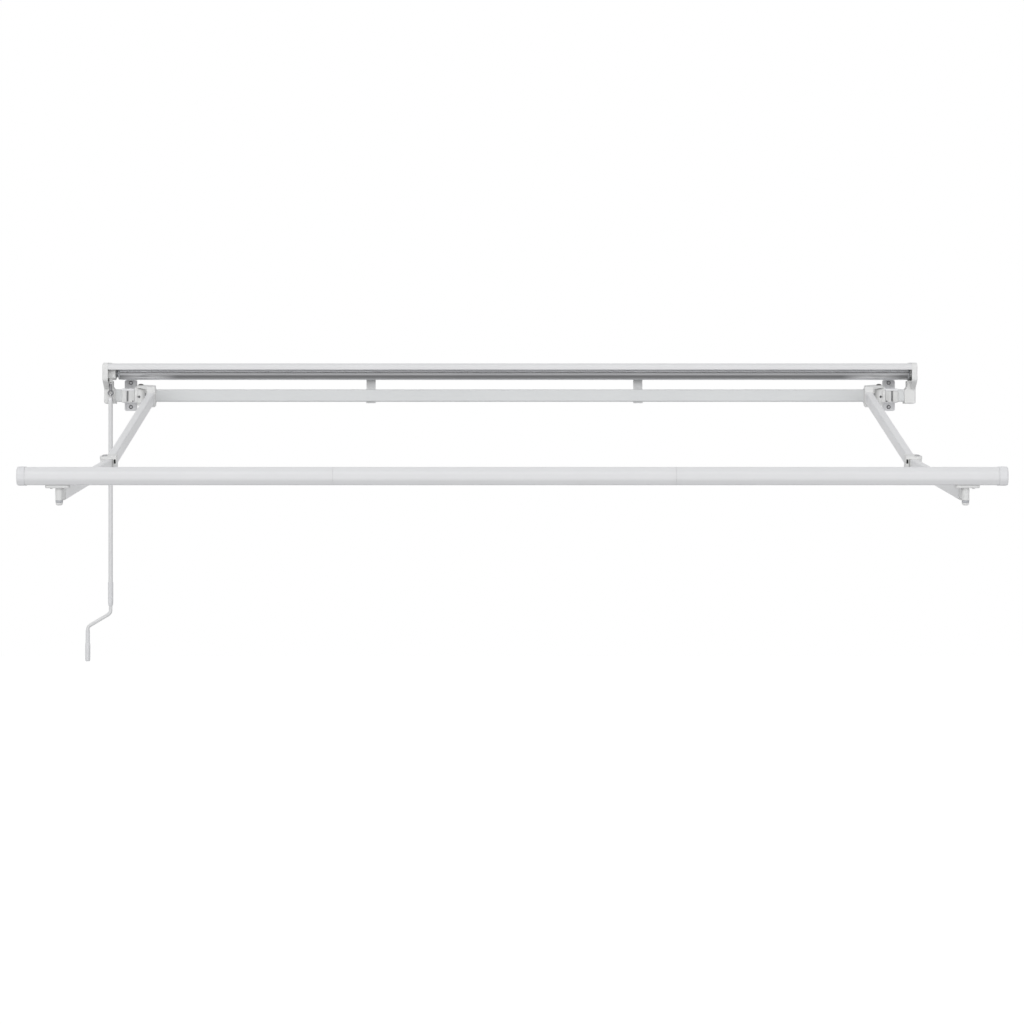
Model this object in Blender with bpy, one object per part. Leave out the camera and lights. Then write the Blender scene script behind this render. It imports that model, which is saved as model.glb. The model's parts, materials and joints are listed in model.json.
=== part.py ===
"""A folding arm awning frame: torsion bar, hood, bare roller, crank drive, two folding arms and a front bar.

The wall is the plane Y = 0 and the awning reaches out towards -Y. X runs along the wall and Z points up, with
Z = 0 at the centre of the torsion bar. Sizes are in metres.
"""

import math

import bmesh
import bpy
from mathutils import Matrix, Vector
from mathutils.geometry import tessellate_polygon

# Overall size and the slope of the arms
WIDTH = 3.000
PROJECTION = 2.500
PITCH = math.radians(9.45)

# Clearances between pieces
GAP = 0.0003
PLAY = 0.0005
OVERSHOOT = 0.004

# Square torsion bar
BAR_SIDE = 0.045
BAR_WALL = 0.0025
BAR_CORNER = 0.004
BAR_SETBACK = 0.070

# Wall brackets, their bolts and the keepers that close them
BRACKET_X = 1.411
BRACKET_WIDTH = 0.0465
BRACKET_HEIGHT = 0.115
BRACKET_RAISE = 0.003
BRACKET_THICKNESS = 0.006
BRACKET_CORNER = 0.006
BRACKET_FLANGE = 0.003
BRACKET_LIP = 0.006
BRACKET_RIB = 0.008
WALL_BOLT_SPACING = 0.090
WALL_BOLT_RAISE = 0.005
WALL_BOLT_RADIUS = 0.004
WALL_BOLT_HEAD_RADIUS = 0.0052
WALL_BOLT_HEAD_HEIGHT = 0.005
WALL_BOLT_REACH = 0.045
COUNTERBORE_RADIUS = 0.0078
COUNTERBORE_DEPTH = 0.003
KEEPER_STRAP = 0.021
KEEPER_GROOVE = 0.005
KEEPER_BOSS = 0.0205
KEEPER_THICKNESS = 0.004
KEEPER_WEB = 0.0022
KEEPER_BULGE = 0.0095

# End plates
PLATE_FRONT = 0.157
PLATE_BACK = 0.012
PLATE_TOP_FRONT = 0.1185
PLATE_TOP_BACK = 0.1243
PLATE_NOSE_LOW = 0.052
PLATE_SHELL_DEPTH = 0.0205
PLATE_FLOOR = 0.0035
PLATE_RIM = 0.0024
PLATE_EDGE = 0.0045
PLATE_POCKET_LOW = 0.044
SLEEVE_WALL = 0.007
SLEEVE_LENGTH = 0.0414
WEB_DEPTH = 0.0303
WEB_TOP = 0.0550
FLARE_TOP = 0.034
FLARE_LOW = 0.018

# Hood and its supports
HOOD_WALL = 0.0018
HOOD_LIP_LOW = 0.0925
HOOD_RETURN = 0.006
HOOD_BACK_LOW = 0.070
HOOD_ENTRY = 0.010
SUPPORT_X = (-0.515, 0.475)
SUPPORT_WIDTH = 0.034
SUPPORT_THICKNESS = 0.0042
SUPPORT_FOOT = 0.032
SUPPORT_HEAD = 0.034

# Roller
ROLLER_Y = -0.085
ROLLER_Z = 0.084
ROLLER_RADIUS = 0.0265
ROLLER_WALL = 0.0015
ROLLER_LEFT = -1.4410
ROLLER_RIGHT = 1.4710
GROOVE_SPACING = 120
CORD_GROOVE_ANGLE = 176
CORD_GROOVE_WIDTH = 0.0040
CORD_GROOVE_DEPTH = 0.0045
FLUTE_ANGLE = 214
FLUTE_WIDTH = 0.0100
FLUTE_DEPTH = 0.0016
PLUG_FLANGE = 0.0055
PLUG_FLANGE_RADIUS = 0.0255
PLUG_SPIGOT = 0.040
PLUG_DRIVE_RADIUS = 0.0115
PLUG_DRIVE_REACH = 0.026
PLUG_PIN_RADIUS = 0.006
PLUG_PIN_REACH = 0.0135
BEARING_RADIUS = 0.016

# Crank gear and its eye
GEAR_X = -1.4735
GEAR_Y = -0.117
GEAR_DRUM_RADIUS = 0.027
GEAR_INNER_X = -1.4555
GEAR_BOX_WIDTH = 0.0285
GEAR_BOX_FRONT = 0.0145
GEAR_BOX_LOW = 0.062
GEAR_BOX_HIGH = 0.104
GEAR_NECK_RADIUS = 0.0078
GEAR_NECK_LOW = 0.042
WORM_RADIUS = 0.0045
WORM_TOP = 0.090
EYE_Z = 0.0085
EYE_RING_RADIUS = 0.0085
EYE_WIRE_RADIUS = 0.0030

# Crank
CRANK_RADIUS = 0.00825
CRANK_WALL = 0.00145
CRANK_SIDES = 10
CRANK_TOP = 0.0228
CRANK_LENGTH = 0.972
CRANK_OFFSET = 0.0845
CRANK_UPPER_BEND_RISE = 0.168
CRANK_LOWER_BEND_RISE = 0.1175
CRANK_BEND_RADIUS = 0.018
CRANK_LOW_RADIUS = 0.0065
HOOK_WIRE_RADIUS = 0.0026
HOOK_BEND_RADIUS = 0.0061
FERRULE_RADIUS = 0.0088
FERRULE_HEIGHT = 0.0150
FERRULE_SPIGOT = 0.025
CRANK_SLEEVE_RISE = 0.282
CRANK_SLEEVE_LENGTH = 0.087
CRANK_SLEEVE_RADIUS = 0.0097
CRANK_SLEEVE_THROAT = 0.012
GRIP_RISE = 0.105
GRIP_NECK = 0.048
GRIP_CAP = 0.010
GRIP_NECK_RADIUS = 0.00775
GRIP_RADIUS = 0.0095

# Pivots of the arms. Sizes named INWARD run from a pin towards the middle of the awning
PITCH_BOLT_X = 1.361
PITCH_Y = -0.130
PITCH_Z = 0.0
ARM_PIN_X = 1.352
SHOULDER_Y = -0.200
SHOULDER_Z = -0.003
WRIST_SETBACK = 0.040
ELBOW_DROP = 0.084
SHOULDER_TUBE_INWARD = 0.042
ELBOW_TUBE_INWARD = 0.0145

# Arm brackets on the torsion bar
ARM_BRACKET_INNER_X = 1.312
ARM_BRACKET_OUTER_X = 1.377
ARM_BRACKET_FRONT = 0.0107
ARM_BRACKET_BACK = 0.0115
ARM_BRACKET_WALL = 0.0045
ARM_BRACKET_LIP = 0.0060
ARM_BRACKET_LIP_THICKNESS = 0.0049
CHEEK_THICKNESS = 0.0065
CHEEK_RECESS = 0.0004
CHEEK_RADIUS = 0.018
CHEEK_INNER_X = 1.3465
PITCH_BOLT_RADIUS = 0.005
PITCH_HEAD_RADIUS = 0.008
PITCH_HEAD_HEIGHT = 0.005

# Shoulder knuckles
KNUCKLE_HALF = 0.0275
KNUCKLE_INNER_X = 1.3465
KNUCKLE_WIDTH = 0.0295
KNUCKLE_REAR = 0.048
KNUCKLE_FRONT = 0.004
KNUCKLE_SLOPE_TOP = 0.012
KNUCKLE_SLOPE_LOW = 0.006
KNUCKLE_BARREL_RADIUS = 0.0145
KNUCKLE_BARREL_TOP = 0.0235
KNUCKLE_LUG_RADIUS = 0.0165
LOCK_HOLE_RADIUS = 0.005
LOCK_HOLE_DEPTH = 0.010
LOCK_HOLE_DROP = 0.0045

# Pins, forks and eyes of the arms
PIN_RADIUS = 0.006
PIN_HEAD_RADIUS = 0.010
PIN_HEAD_HEIGHT = 0.003
PIN_COLLAR_RADIUS = 0.0068
SHOULDER_HALF = 0.0375
SHOULDER_EAR_RADIUS = 0.015
SHOULDER_THROAT = 0.0275
THROAT_REACH = 0.080
SHOULDER_ROOT = 0.056
SHOULDER_ROOT_START = 0.006
SHOULDER_ROOT_END = 0.052
SHOULDER_BLOCK_START = 0.040
SHOULDER_TUBE_START = 0.060
ELBOW_HALF = 0.030
ELBOW_EAR_RADIUS = 0.016
ELBOW_THROAT_RADIUS = 0.0175
ELBOW_ROOT_OUTER = 0.0005
ELBOW_ROOT_INNER = 0.039
ELBOW_SHOULDER_INWARD = 0.0285
ELBOW_SHOULDER_REACH = 0.010
ELBOW_POCKET = (0.006, 0.013, 0.012)
ELBOW_FORK_END = 0.046
ELBOW_EYE_HALF = 0.020
ELBOW_EYE_RADIUS = 0.015
ELBOW_NECK_START = 0.018
ELBOW_NECK_END = 0.040
ELBOW_EYE_END = 0.050
WRIST_EYE_HALF = 0.016
WRIST_NECK_HALF = 0.015
WRIST_EYE_RADIUS = 0.0112
WRIST_NECK_END = 0.047
WRIST_EYE_END = 0.054
SPIGOT = 0.040
SPIGOT_PLAY = 0.0004

# Arm tubes and the springs inside them
TUBE_WIDTH = 0.026
UPPER_HEIGHT = 0.043
FORE_HEIGHT = 0.042
TUBE_WALL = 0.0022
TUBE_CORNER = 0.005
SPRING_RADIUS = 0.009
SPRING_GROOVE = 0.0012
SPRING_LENGTH = 0.420
SPRING_PLACE = 0.30
SPRING_RIDGES = 6
SPRING_SIDES = 6
SPRING_TAIL_RADIUS = 0.0020
TAIL_SOCKET = 0.010

# Front bar
FRONT_DEPTH = 0.062
FRONT_HEIGHT = 0.054
FRONT_RISE = 0.0552
FRONT_LENGTH = 2.950
FRONT_WALL = 0.0020
FRONT_SEAMS = (-0.534, 0.488)
SEAM = 0.0006
SLOT_MOUTH = 0.0036
SLOT_WIDTH = 0.0080
SLOT_DEPTH = 0.0070
SLOT_LIP = 0.0020
FABRIC_SLOT_Y = 0.014
VALANCE_SLOT_Y = -0.011
JOINER_LENGTH = 0.180
JOINER_WALL = 0.0030
JOINER_CORNER = 0.0020
CAP_LENGTHS = (0.024, 0.027)
CAP_PROUD = 0.0015
CAP_EDGE = 0.006
CAP_SPIGOT = 0.022

# Wrist brackets under the front bar
WRIST_PLATE_X = 1.356
WRIST_PLATE_WIDTH = 0.071
WRIST_PLATE_FRONT = 0.0225
WRIST_PLATE_BACK = 0.0175
WRIST_PLATE_THICKNESS = 0.0087
WRIST_COLLAR_RADIUS = 0.0105
WRIST_PIN_END = 0.029
NUT_NECK_RADIUS = 0.0085
NUT_NECK_END = 0.0235
NUT_RADIUS = 0.0108
NUT_END = 0.0315

# Round work
FINE = 20
MEDIUM = 16
COARSE = 12

# Places that follow from the sizes above
HALF_BAR = BAR_SIDE / 2
BAR_Y = -BAR_SETBACK
BAR_FRONT = BAR_Y - HALF_BAR
BAR_REAR = BAR_Y + HALF_BAR
PLATE_OUTER = WIDTH / 2
SHELL_INNER = PLATE_OUTER - PLATE_SHELL_DEPTH
FLOOR_X = PLATE_OUTER - PLATE_FLOOR
SLEEVE_INNER = PLATE_OUTER - SLEEVE_LENGTH
SLEEVE_HALF = HALF_BAR + SLEEVE_WALL
WRIST_Y = -PROJECTION + WRIST_SETBACK
REACH = (SHOULDER_Y - WRIST_Y) / math.cos(PITCH)
LINK = REACH / 2
WRIST_Z = SHOULDER_Z - (SHOULDER_Y - WRIST_Y) * math.tan(PITCH)
FRONT_Y = -PROJECTION + FRONT_DEPTH / 2
FRONT_Z = WRIST_Z + FRONT_RISE
LEFT, RIGHT = -1, 1
SIDES = ((LEFT, "left"), (RIGHT, "right"))


def clear_scene():
    for obj in list(bpy.data.objects):
        bpy.data.objects.remove(obj, do_unlink=True)


def material(name, colour, roughness, metallic):
    made = bpy.data.materials.new(name)
    made.use_nodes = True
    shader = made.node_tree.nodes["Principled BSDF"]
    shader.inputs["Base Color"].default_value = (*colour, 1.0)
    shader.inputs["Roughness"].default_value = roughness
    shader.inputs["Metallic"].default_value = metallic
    made.diffuse_color = (*colour, 1.0)
    return made


# Outlines are lists of (a, b) points in the plane of a profile


def fillet(corners, steps=2, closed=True):
    """The line through these (a, b, radius) corners, with each corner rounded to its radius."""
    line = []
    count = len(corners)
    for i, (a, b, radius) in enumerate(corners):
        at_end = not closed and i in (0, count - 1)
        if at_end or radius <= 0:
            line.append((a, b))
            continue
        corner = Vector((a, b))
        before = Vector(corners[i - 1][:2]) - corner
        after = Vector(corners[(i + 1) % count][:2]) - corner
        half_angle = before.angle(after) / 2
        run = min(radius / math.tan(half_angle), before.length * 0.74, after.length * 0.74)
        radius = run * math.tan(half_angle)
        to_centre = before.normalized() + after.normalized()
        centre = corner + to_centre.normalized() * (radius / math.sin(half_angle))
        first = corner + before.normalized() * run - centre
        last = corner + after.normalized() * run - centre
        sweep = first.angle_signed(last)
        for k in range(steps + 1):
            spoke = Matrix.Rotation(-sweep * k / steps, 2) @ first
            line.append(tuple(centre + spoke))
    return line


def rectangle(width, height, radius, a=0.0, b=0.0, steps=2):
    right, top = width / 2, height / 2
    corners = [(-right, -top), (right, -top), (right, top), (-right, top)]
    return fillet([(a + x, b + y, radius) for x, y in corners], steps)


def circle(radius, sides, a=0.0, b=0.0):
    turns = [2 * math.pi * (k + 0.5) / sides for k in range(sides)]
    return [(a + radius * math.cos(t), b + radius * math.sin(t)) for t in turns]


def bore(radius, sides, a=0.0, b=0.0):
    """A polygon whose flats lie on the circle, so that a round pin of this radius passes."""
    return circle(radius / math.cos(math.pi / sides), sides, a, b)


def offset(line, distance, closed=True):
    """The line moved sideways: to the left of its direction where distance is positive."""
    moved = []
    count = len(line)
    for i, point in enumerate(line):
        here = Vector(point)
        before = here - Vector(line[i - 1])
        after = Vector(line[(i + 1) % count]) - here
        if not closed and i == 0:
            before = after
        if not closed and i == count - 1:
            after = before
        left_before = Vector((-before.y, before.x)).normalized()
        left_after = Vector((-after.y, after.x)).normalized()
        bisector = (left_before + left_after).normalized()
        moved.append(tuple(here + bisector * (distance / bisector.dot(left_after))))
    return moved


def ribbon(corners, thickness, steps=2):
    """The outline of a bent sheet whose one face follows the corners; the other lies to their left."""
    face = fillet(corners, steps, closed=False)
    return face + offset(face, thickness, closed=False)[::-1]


def hull(points):
    """The convex outline round these points."""

    def half(ordered):
        chain = []
        for point in ordered:
            while len(chain) > 1:
                (ax, ay), (bx, by) = chain[-2:]
                if (bx - ax) * (point[1] - ay) - (by - ay) * (point[0] - ax) > 1e-12:
                    break
                chain.pop()
            chain.append(point)
        return chain[:-1]

    ordered = sorted(set(points))
    return half(ordered) + half(ordered[::-1])


def area(line):
    pairs = zip(line, line[1:] + line[:1])
    return sum(a * d - b * c for (a, b), (c, d) in pairs) / 2


def counterclockwise(line):
    return line if area(line) > 0 else line[::-1]


# Solids are meshes made from outlines


def to_space(a, b, c, axis):
    """Puts an outline's point at a place along the axis that the outline is extruded on."""
    return {"X": (c, a, b), "Y": (a, c, b), "Z": (a, b, c)}[axis]


def finished(bm, name):
    bmesh.ops.remove_doubles(bm, verts=bm.verts, dist=1e-6)
    bmesh.ops.recalc_face_normals(bm, faces=bm.faces)
    mesh = bpy.data.meshes.new(name)
    bm.to_mesh(mesh)
    bm.free()
    return mesh


def slab(outline, start, end, axis, holes=(), start_edge=0.0, end_edge=0.0, steps=1):
    """An outline extruded from start to end, with straight holes and its two outer edges rounded."""
    outline = counterclockwise(outline)
    rings = []
    for radius, place, inward in ((start_edge, start, 1), (end_edge, end, -1)):
        side = []
        for k in range(steps + 1 if radius else 1):
            turn = math.pi / 2 * k / steps if radius else math.pi / 2
            inset = radius * (1 - math.sin(turn))
            along = place + inward * math.copysign(radius * (1 - math.cos(turn)), end - start)
            side.append((inset, along))
        rings += side if inward > 0 else side[::-1]
    bm = bmesh.new()

    def ring(line, along):
        return [bm.verts.new(to_space(a, b, along, axis)) for a, b in line]

    def wall(first, second):
        for i in range(len(first)):
            j = (i + 1) % len(first)
            bm.faces.new((first[i], first[j], second[j], second[i]))

    outer = [ring(offset(outline, inset) if inset else outline, along) for inset, along in rings]
    inner = [[ring(hole, start), ring(hole, end)] for hole in holes]
    for first, second in zip(outer, outer[1:]):
        wall(first, second)
    for pair in inner:
        wall(*pair)
    for last in (0, -1):
        loops = [outer[last]] + [pair[last] for pair in inner]
        verts = [vert for loop in loops for vert in loop]
        for face in tessellate_polygon([[vert.co for vert in loop] for loop in loops]):
            bm.faces.new([verts[k] for k in face])
    return finished(bm, "slab")


def turned(profile, sides, axis, closed=False):
    """A turned solid from (radius, height) points, from pole to pole or, when closed, round a bore."""
    bm = bmesh.new()
    rings = []
    for radius, height in profile:
        count = sides if radius > 0 else 1
        spokes = [2 * math.pi * (k + 0.5) / sides for k in range(count)]
        places = [(radius * math.cos(t), radius * math.sin(t)) for t in spokes]
        rings.append([bm.verts.new(to_space(a, b, height, axis)) for a, b in places])
    pairs = list(zip(rings, rings[1:] + rings[:1])) if closed else list(zip(rings, rings[1:]))
    for first, second in pairs:
        if len(first) + len(second) == 2:
            continue
        for k in range(sides):
            corners = [first[k % len(first)], first[(k + 1) % len(first)]]
            corners += [second[(k + 1) % len(second)], second[k % len(second)]]
            bm.faces.new(list(dict.fromkeys(corners)))
    return finished(bm, "turned")


def moved(mesh, matrix):
    mesh.transform(matrix)
    return mesh


def combine(operation, base, *others):
    """The base mesh joined with, cut by or limited to the other meshes."""
    body = bpy.data.objects.new("body", base)
    bpy.context.scene.collection.objects.link(body)
    helpers = []
    for mesh in others:
        helper = bpy.data.objects.new("helper", mesh)
        helper.hide_render = True
        helper.display_type = "WIRE"
        bpy.context.scene.collection.objects.link(helper)
        boolean = body.modifiers.new(operation, "BOOLEAN")
        boolean.operation = operation
        boolean.object = helper
        helpers.append(helper)
    graph = bpy.context.evaluated_depsgraph_get()
    result = bpy.data.meshes.new_from_object(body.evaluated_get(graph))
    for obj in [body] + helpers:
        bpy.data.objects.remove(obj, do_unlink=True)
    return result


def join(base, *others):
    return combine("UNION", base, *others)


def cut(base, *others):
    return combine("DIFFERENCE", base, *others)


def common(base, *others):
    return combine("INTERSECT", base, *others)


def add(name, mesh, finish, parent=None, location=(0, 0, 0), rotation=(0, 0, 0), smooth=35):
    mesh.name = name
    mesh.materials.clear()
    mesh.materials.append(finish)
    mesh.shade_smooth()
    mesh.set_sharp_from_angle(angle=math.radians(smooth))
    obj = bpy.data.objects.new(name, mesh)
    bpy.context.scene.collection.objects.link(obj)
    obj.parent = parent
    obj.location = location
    obj.rotation_euler = rotation
    return obj


def axis_empty(name, location, parent=None, rotation=(0, 0, 0)):
    empty = bpy.data.objects.new(name, None)
    empty.empty_display_size = 0.05
    bpy.context.scene.collection.objects.link(empty)
    empty.parent = parent
    empty.location = location
    empty.rotation_euler = rotation
    return empty


def swept(points, across, radii, sides, wall=0.0):
    """A round rod or tube along points in one plane, with a radius at each; across is the plane's normal."""
    bm = bmesh.new()
    across = Vector(across)
    points = [Vector(point) for point in points]
    count = len(points)

    def sleeve(inset):
        rings = []
        for i, point in enumerate(points):
            end = min(i + 1, count - 1)
            before = (points[max(i, 1)] - points[max(i - 1, 0)]).normalized()
            after = (points[end] - points[end - 1]).normalized()
            along = (before + after).normalized()
            outward = along.cross(across) / along.dot(after)
            turns = [2 * math.pi * (k + 0.5) / sides for k in range(sides)]
            size = radii[i] - inset
            places = [point + size * (across * math.cos(t) + outward * math.sin(t)) for t in turns]
            rings.append([bm.verts.new(place) for place in places])
        for first, second in zip(rings, rings[1:]):
            for k in range(sides):
                j = (k + 1) % sides
                bm.faces.new((first[k], first[j], second[j], second[k]))
        return rings[0], rings[-1]

    outer = sleeve(0.0)
    if not wall:
        for ring in outer:
            bm.faces.new(ring)
        return finished(bm, "swept")
    for ring, hole in zip(outer, sleeve(wall)):
        for k in range(sides):
            j = (k + 1) % sides
            bm.faces.new((ring[k], ring[j], hole[j], hole[k]))
    return finished(bm, "swept")


# The bar and what fixes it to the wall


def torsion_bar(finishes):
    half = FLOOR_X - GAP
    outside = rectangle(BAR_SIDE, BAR_SIDE, BAR_CORNER, BAR_Y)
    inside = rectangle(BAR_SIDE - 2 * BAR_WALL, BAR_SIDE - 2 * BAR_WALL, BAR_CORNER - BAR_WALL, BAR_Y)
    add("torsion_bar", slab(outside, -half, half, "X", [inside]), finishes["bar"])


def wall_bracket(side, word, finishes):
    """A plate with a channel round the bar: a hooked flange over it, a flat one under it, a rib behind it."""
    centre = side * BRACKET_X
    bolt_heights = [WALL_BOLT_RAISE + sign * WALL_BOLT_SPACING / 2 for sign in (1, -1)]
    outline = rectangle(BRACKET_WIDTH, BRACKET_HEIGHT, BRACKET_CORNER, centre, BRACKET_RAISE)
    plate = slab(outline, 0.0, -BRACKET_THICKNESS, "Y", end_edge=0.0015)
    seat = -BRACKET_THICKNESS + COUNTERBORE_DEPTH
    shank = (WALL_BOLT_RADIUS + PLAY) / math.cos(math.pi / COARSE)
    stepped = [
        (0, OVERSHOOT),
        (shank, OVERSHOOT),
        (shank, seat),
        (COUNTERBORE_RADIUS, seat),
        (COUNTERBORE_RADIUS, -BRACKET_THICKNESS - OVERSHOOT),
        (0, -BRACKET_THICKNESS - OVERSHOOT),
    ]
    bores = []
    for z in bolt_heights:
        bores.append(moved(turned(stepped, COARSE, "Y"), Matrix.Translation((centre, 0, z))))
    root = -BRACKET_THICKNESS * 0.6
    over = HALF_BAR + GAP
    front = BAR_FRONT - GAP
    top_corners = [
        (root, over, 0),
        (front, over, 0),
        (front, over - BRACKET_LIP, 0),
        (front - BRACKET_FLANGE, over - BRACKET_LIP, 0.001),
        (front - BRACKET_FLANGE, over + BRACKET_FLANGE, 0.004),
        (root, over + BRACKET_FLANGE, 0),
    ]
    under_corners = [
        (root, -over, 0),
        (root, -over - BRACKET_FLANGE, 0),
        (front, -over - BRACKET_FLANGE, 0.001),
        (front, -over, 0),
    ]
    half = BRACKET_WIDTH / 2 - 0.0005
    arms = [slab(fillet(c), centre - half, centre + half, "X") for c in (top_corners, under_corners)]
    rib_corners = [(root, -over - 0.001), (root, over + 0.001)]
    rib_corners += [(BAR_REAR + GAP, over + 0.001), (BAR_REAR + GAP, -over - 0.001)]
    rib = slab(rib_corners, centre - BRACKET_RIB / 2, centre + BRACKET_RIB / 2, "X")
    mesh = cut(join(plate, *arms, rib), *bores)
    add(f"wall_bracket_{word}", mesh, finishes["bracket"])
    return bolt_heights


def wall_bolt(name, x, z, finishes):
    seat = BRACKET_THICKNESS - COUNTERBORE_DEPTH + GAP
    head = WALL_BOLT_HEAD_RADIUS
    profile = [
        (0, -seat - WALL_BOLT_HEAD_HEIGHT),
        (head * 0.75, -seat - WALL_BOLT_HEAD_HEIGHT),
        (head, -seat - WALL_BOLT_HEAD_HEIGHT * 0.6),
        (head, -seat),
        (WALL_BOLT_RADIUS, -seat),
        (WALL_BOLT_RADIUS, WALL_BOLT_REACH - WALL_BOLT_RADIUS),
        (WALL_BOLT_RADIUS * 0.4, WALL_BOLT_REACH),
        (0, WALL_BOLT_REACH),
    ]
    add(name, turned(profile, COARSE, "Y"), finishes["fastener"], location=(x, 0, z))


def bar_keeper(side, word, finishes):
    """The cast bar keeper in front of the bar: a flat strap, a groove and a rounded boss, seen in plan."""
    back = BAR_FRONT - GAP
    inner = BRACKET_X - BRACKET_WIDTH / 2 + 0.0015
    groove = inner + KEEPER_STRAP
    boss = groove + KEEPER_GROOVE
    outer = boss + KEEPER_BOSS
    corners = [
        (inner, back, 0),
        (inner, back - KEEPER_THICKNESS, 0.001),
        (groove, back - KEEPER_THICKNESS, 0.001),
        (groove, back - KEEPER_WEB, 0),
        (boss, back - KEEPER_WEB, 0),
        (boss, back - KEEPER_BULGE, 0.007),
        (outer, back - KEEPER_BULGE, 0.007),
        (outer, back, 0),
    ]
    outline = [(side * x, y) for x, y in fillet(corners, 3)]
    high = HALF_BAR - BRACKET_LIP
    low = -HALF_BAR - BRACKET_FLANGE
    mesh = slab(outline, low, high - GAP, "Z", start_edge=0.0008, end_edge=0.0008)
    add(f"bar_keeper_{word}", mesh, finishes["casting"])


# The end plates, the hood and the roller between them


def plate_corners():
    sleeve_front = BAR_Y - SLEEVE_HALF
    sleeve_rear = BAR_Y + SLEEVE_HALF
    return [
        (sleeve_rear, -SLEEVE_HALF, 0.003),
        (sleeve_rear, SLEEVE_HALF, 0.006),
        (-PLATE_BACK, PLATE_NOSE_LOW, 0.008),
        (-PLATE_BACK, PLATE_TOP_BACK, 0.010),
        (-PLATE_FRONT, PLATE_TOP_FRONT, 0.017),
        (-PLATE_FRONT, PLATE_NOSE_LOW, 0.014),
        (sleeve_front, HALF_BAR, 0.010),
        (sleeve_front, -SLEEVE_HALF, 0.003),
    ]


def hood_corners(inset):
    """The line of the hood's sheet: up the back, over the roof and down to the front lip's return."""
    back = -PLATE_BACK - inset
    front = -PLATE_FRONT + inset
    return [
        (back, HOOD_BACK_LOW, 0),
        (back, PLATE_TOP_BACK - inset, 0.0085),
        (front, PLATE_TOP_FRONT - inset, 0.0150),
        (front, HOOD_LIP_LOW, 0.0020),
        (front + HOOD_RETURN, HOOD_LIP_LOW, 0),
    ]


def pocket_outline():
    inset = PLATE_RIM
    return fillet(
        [
            (-PLATE_BACK - inset, PLATE_NOSE_LOW + 0.010, 0.006),
            (-PLATE_BACK - inset, PLATE_TOP_BACK - inset, 0.0085),
            (-PLATE_FRONT + inset, PLATE_TOP_FRONT - inset, 0.0150),
            (-PLATE_FRONT + inset, PLATE_NOSE_LOW + inset, 0.010),
            (GEAR_Y - GEAR_NECK_RADIUS, PLATE_POCKET_LOW, 0.006),
            (BAR_Y + HALF_BAR, PLATE_POCKET_LOW, 0.006),
        ],
        3,
    )


def end_plate(side, word, finishes):
    """A cast tray for the roller's end, with a web and a sleeve that takes the bar's end."""
    outline = fillet(plate_corners(), 3)
    shell = slab(outline, side * SHELL_INNER, side * PLATE_OUTER, "X", end_edge=PLATE_EDGE, steps=2)
    pocket = slab(pocket_outline(), side * (SHELL_INNER - OVERSHOOT), side * FLOOR_X, "X")
    inside = PLATE_OUTER - PLATE_EDGE
    web_inner = PLATE_OUTER - WEB_DEPTH
    web_corners = [
        (SLEEVE_INNER, -SLEEVE_HALF + 0.0004, 0.001),
        (SLEEVE_INNER, FLARE_LOW, 0.002),
        (web_inner, FLARE_TOP, 0.004),
        (web_inner, WEB_TOP, 0.002),
        (inside, WEB_TOP, 0),
        (inside, -SLEEVE_HALF + 0.0004, 0),
    ]
    web_outline = [(side * x, z) for x, z in fillet(web_corners)]
    rear = BAR_Y + SLEEVE_HALF - 0.0004
    web = slab(web_outline, BAR_Y - SLEEVE_HALF + 0.0004, rear, "Y", start_edge=0.0015)
    clearance = BAR_SIDE + 2 * GAP
    socket_outline = rectangle(clearance, clearance, BAR_CORNER, BAR_Y)
    socket = slab(socket_outline, side * (SLEEVE_INNER - OVERSHOOT), side * FLOOR_X, "X")
    mesh = join(cut(shell, pocket), web)
    cutters = [socket]
    if side == LEFT:
        neck_hole = bore(GEAR_NECK_RADIUS + GAP, MEDIUM, GEAR_X, GEAR_Y)
        cutters.append(slab(neck_hole, 0.0, GEAR_BOX_LOW, "Z"))
    else:
        boss_inner = side * (ROLLER_RIGHT + GAP + PLUG_FLANGE + 0.0015)
        boss_line = circle(BEARING_RADIUS, MEDIUM, ROLLER_Y, ROLLER_Z)
        boss = slab(boss_line, boss_inner, side * (FLOOR_X + PLATE_FLOOR / 2), "X", start_edge=0.001)
        mesh = join(mesh, boss)
        pin_hole = bore(PLUG_PIN_RADIUS + PLAY, MEDIUM, ROLLER_Y, ROLLER_Z)
        cutters.append(slab(pin_hole, boss_inner - OVERSHOOT, side * FLOOR_X, "X"))
    add(f"end_plate_{word}", cut(mesh, *cutters), finishes["casting"])


def hood(finishes):
    half = SHELL_INNER + HOOD_ENTRY
    outline = ribbon(hood_corners(PLATE_RIM + GAP), HOOD_WALL, 3)
    add("hood", slab(outline, -half, half, "X"), finishes["sheet"])


def hood_support(x, word, finishes):
    """A bent strip: a foot under the bar, up its back, past the roller and forward under the hood."""
    rear = BAR_REAR + GAP
    under = -HALF_BAR - GAP
    roof = hood_corners(PLATE_RIM + 2 * GAP + HOOD_WALL)
    back_roof, front_roof = Vector(roof[1][:2]), Vector(roof[2][:2])
    slope = (front_roof.y - back_roof.y) / (front_roof.x - back_roof.x)
    head_rear = rear + SUPPORT_THICKNESS
    head_front = head_rear - SUPPORT_HEAD

    def roof_height(y):
        return back_roof.y + slope * (y - back_roof.x)

    corners = [
        (rear - SUPPORT_FOOT, under, 0),
        (rear, under, 0.0006),
        (rear, roof_height(rear) - SUPPORT_THICKNESS, 0.003),
        (head_front, roof_height(head_front) - SUPPORT_THICKNESS, 0),
    ]
    outline = ribbon(corners, -SUPPORT_THICKNESS)
    half = SUPPORT_WIDTH / 2
    add(f"hood_support_{word}", slab(outline, x - half, x + half, "X"), finishes["bracket"])


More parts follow.
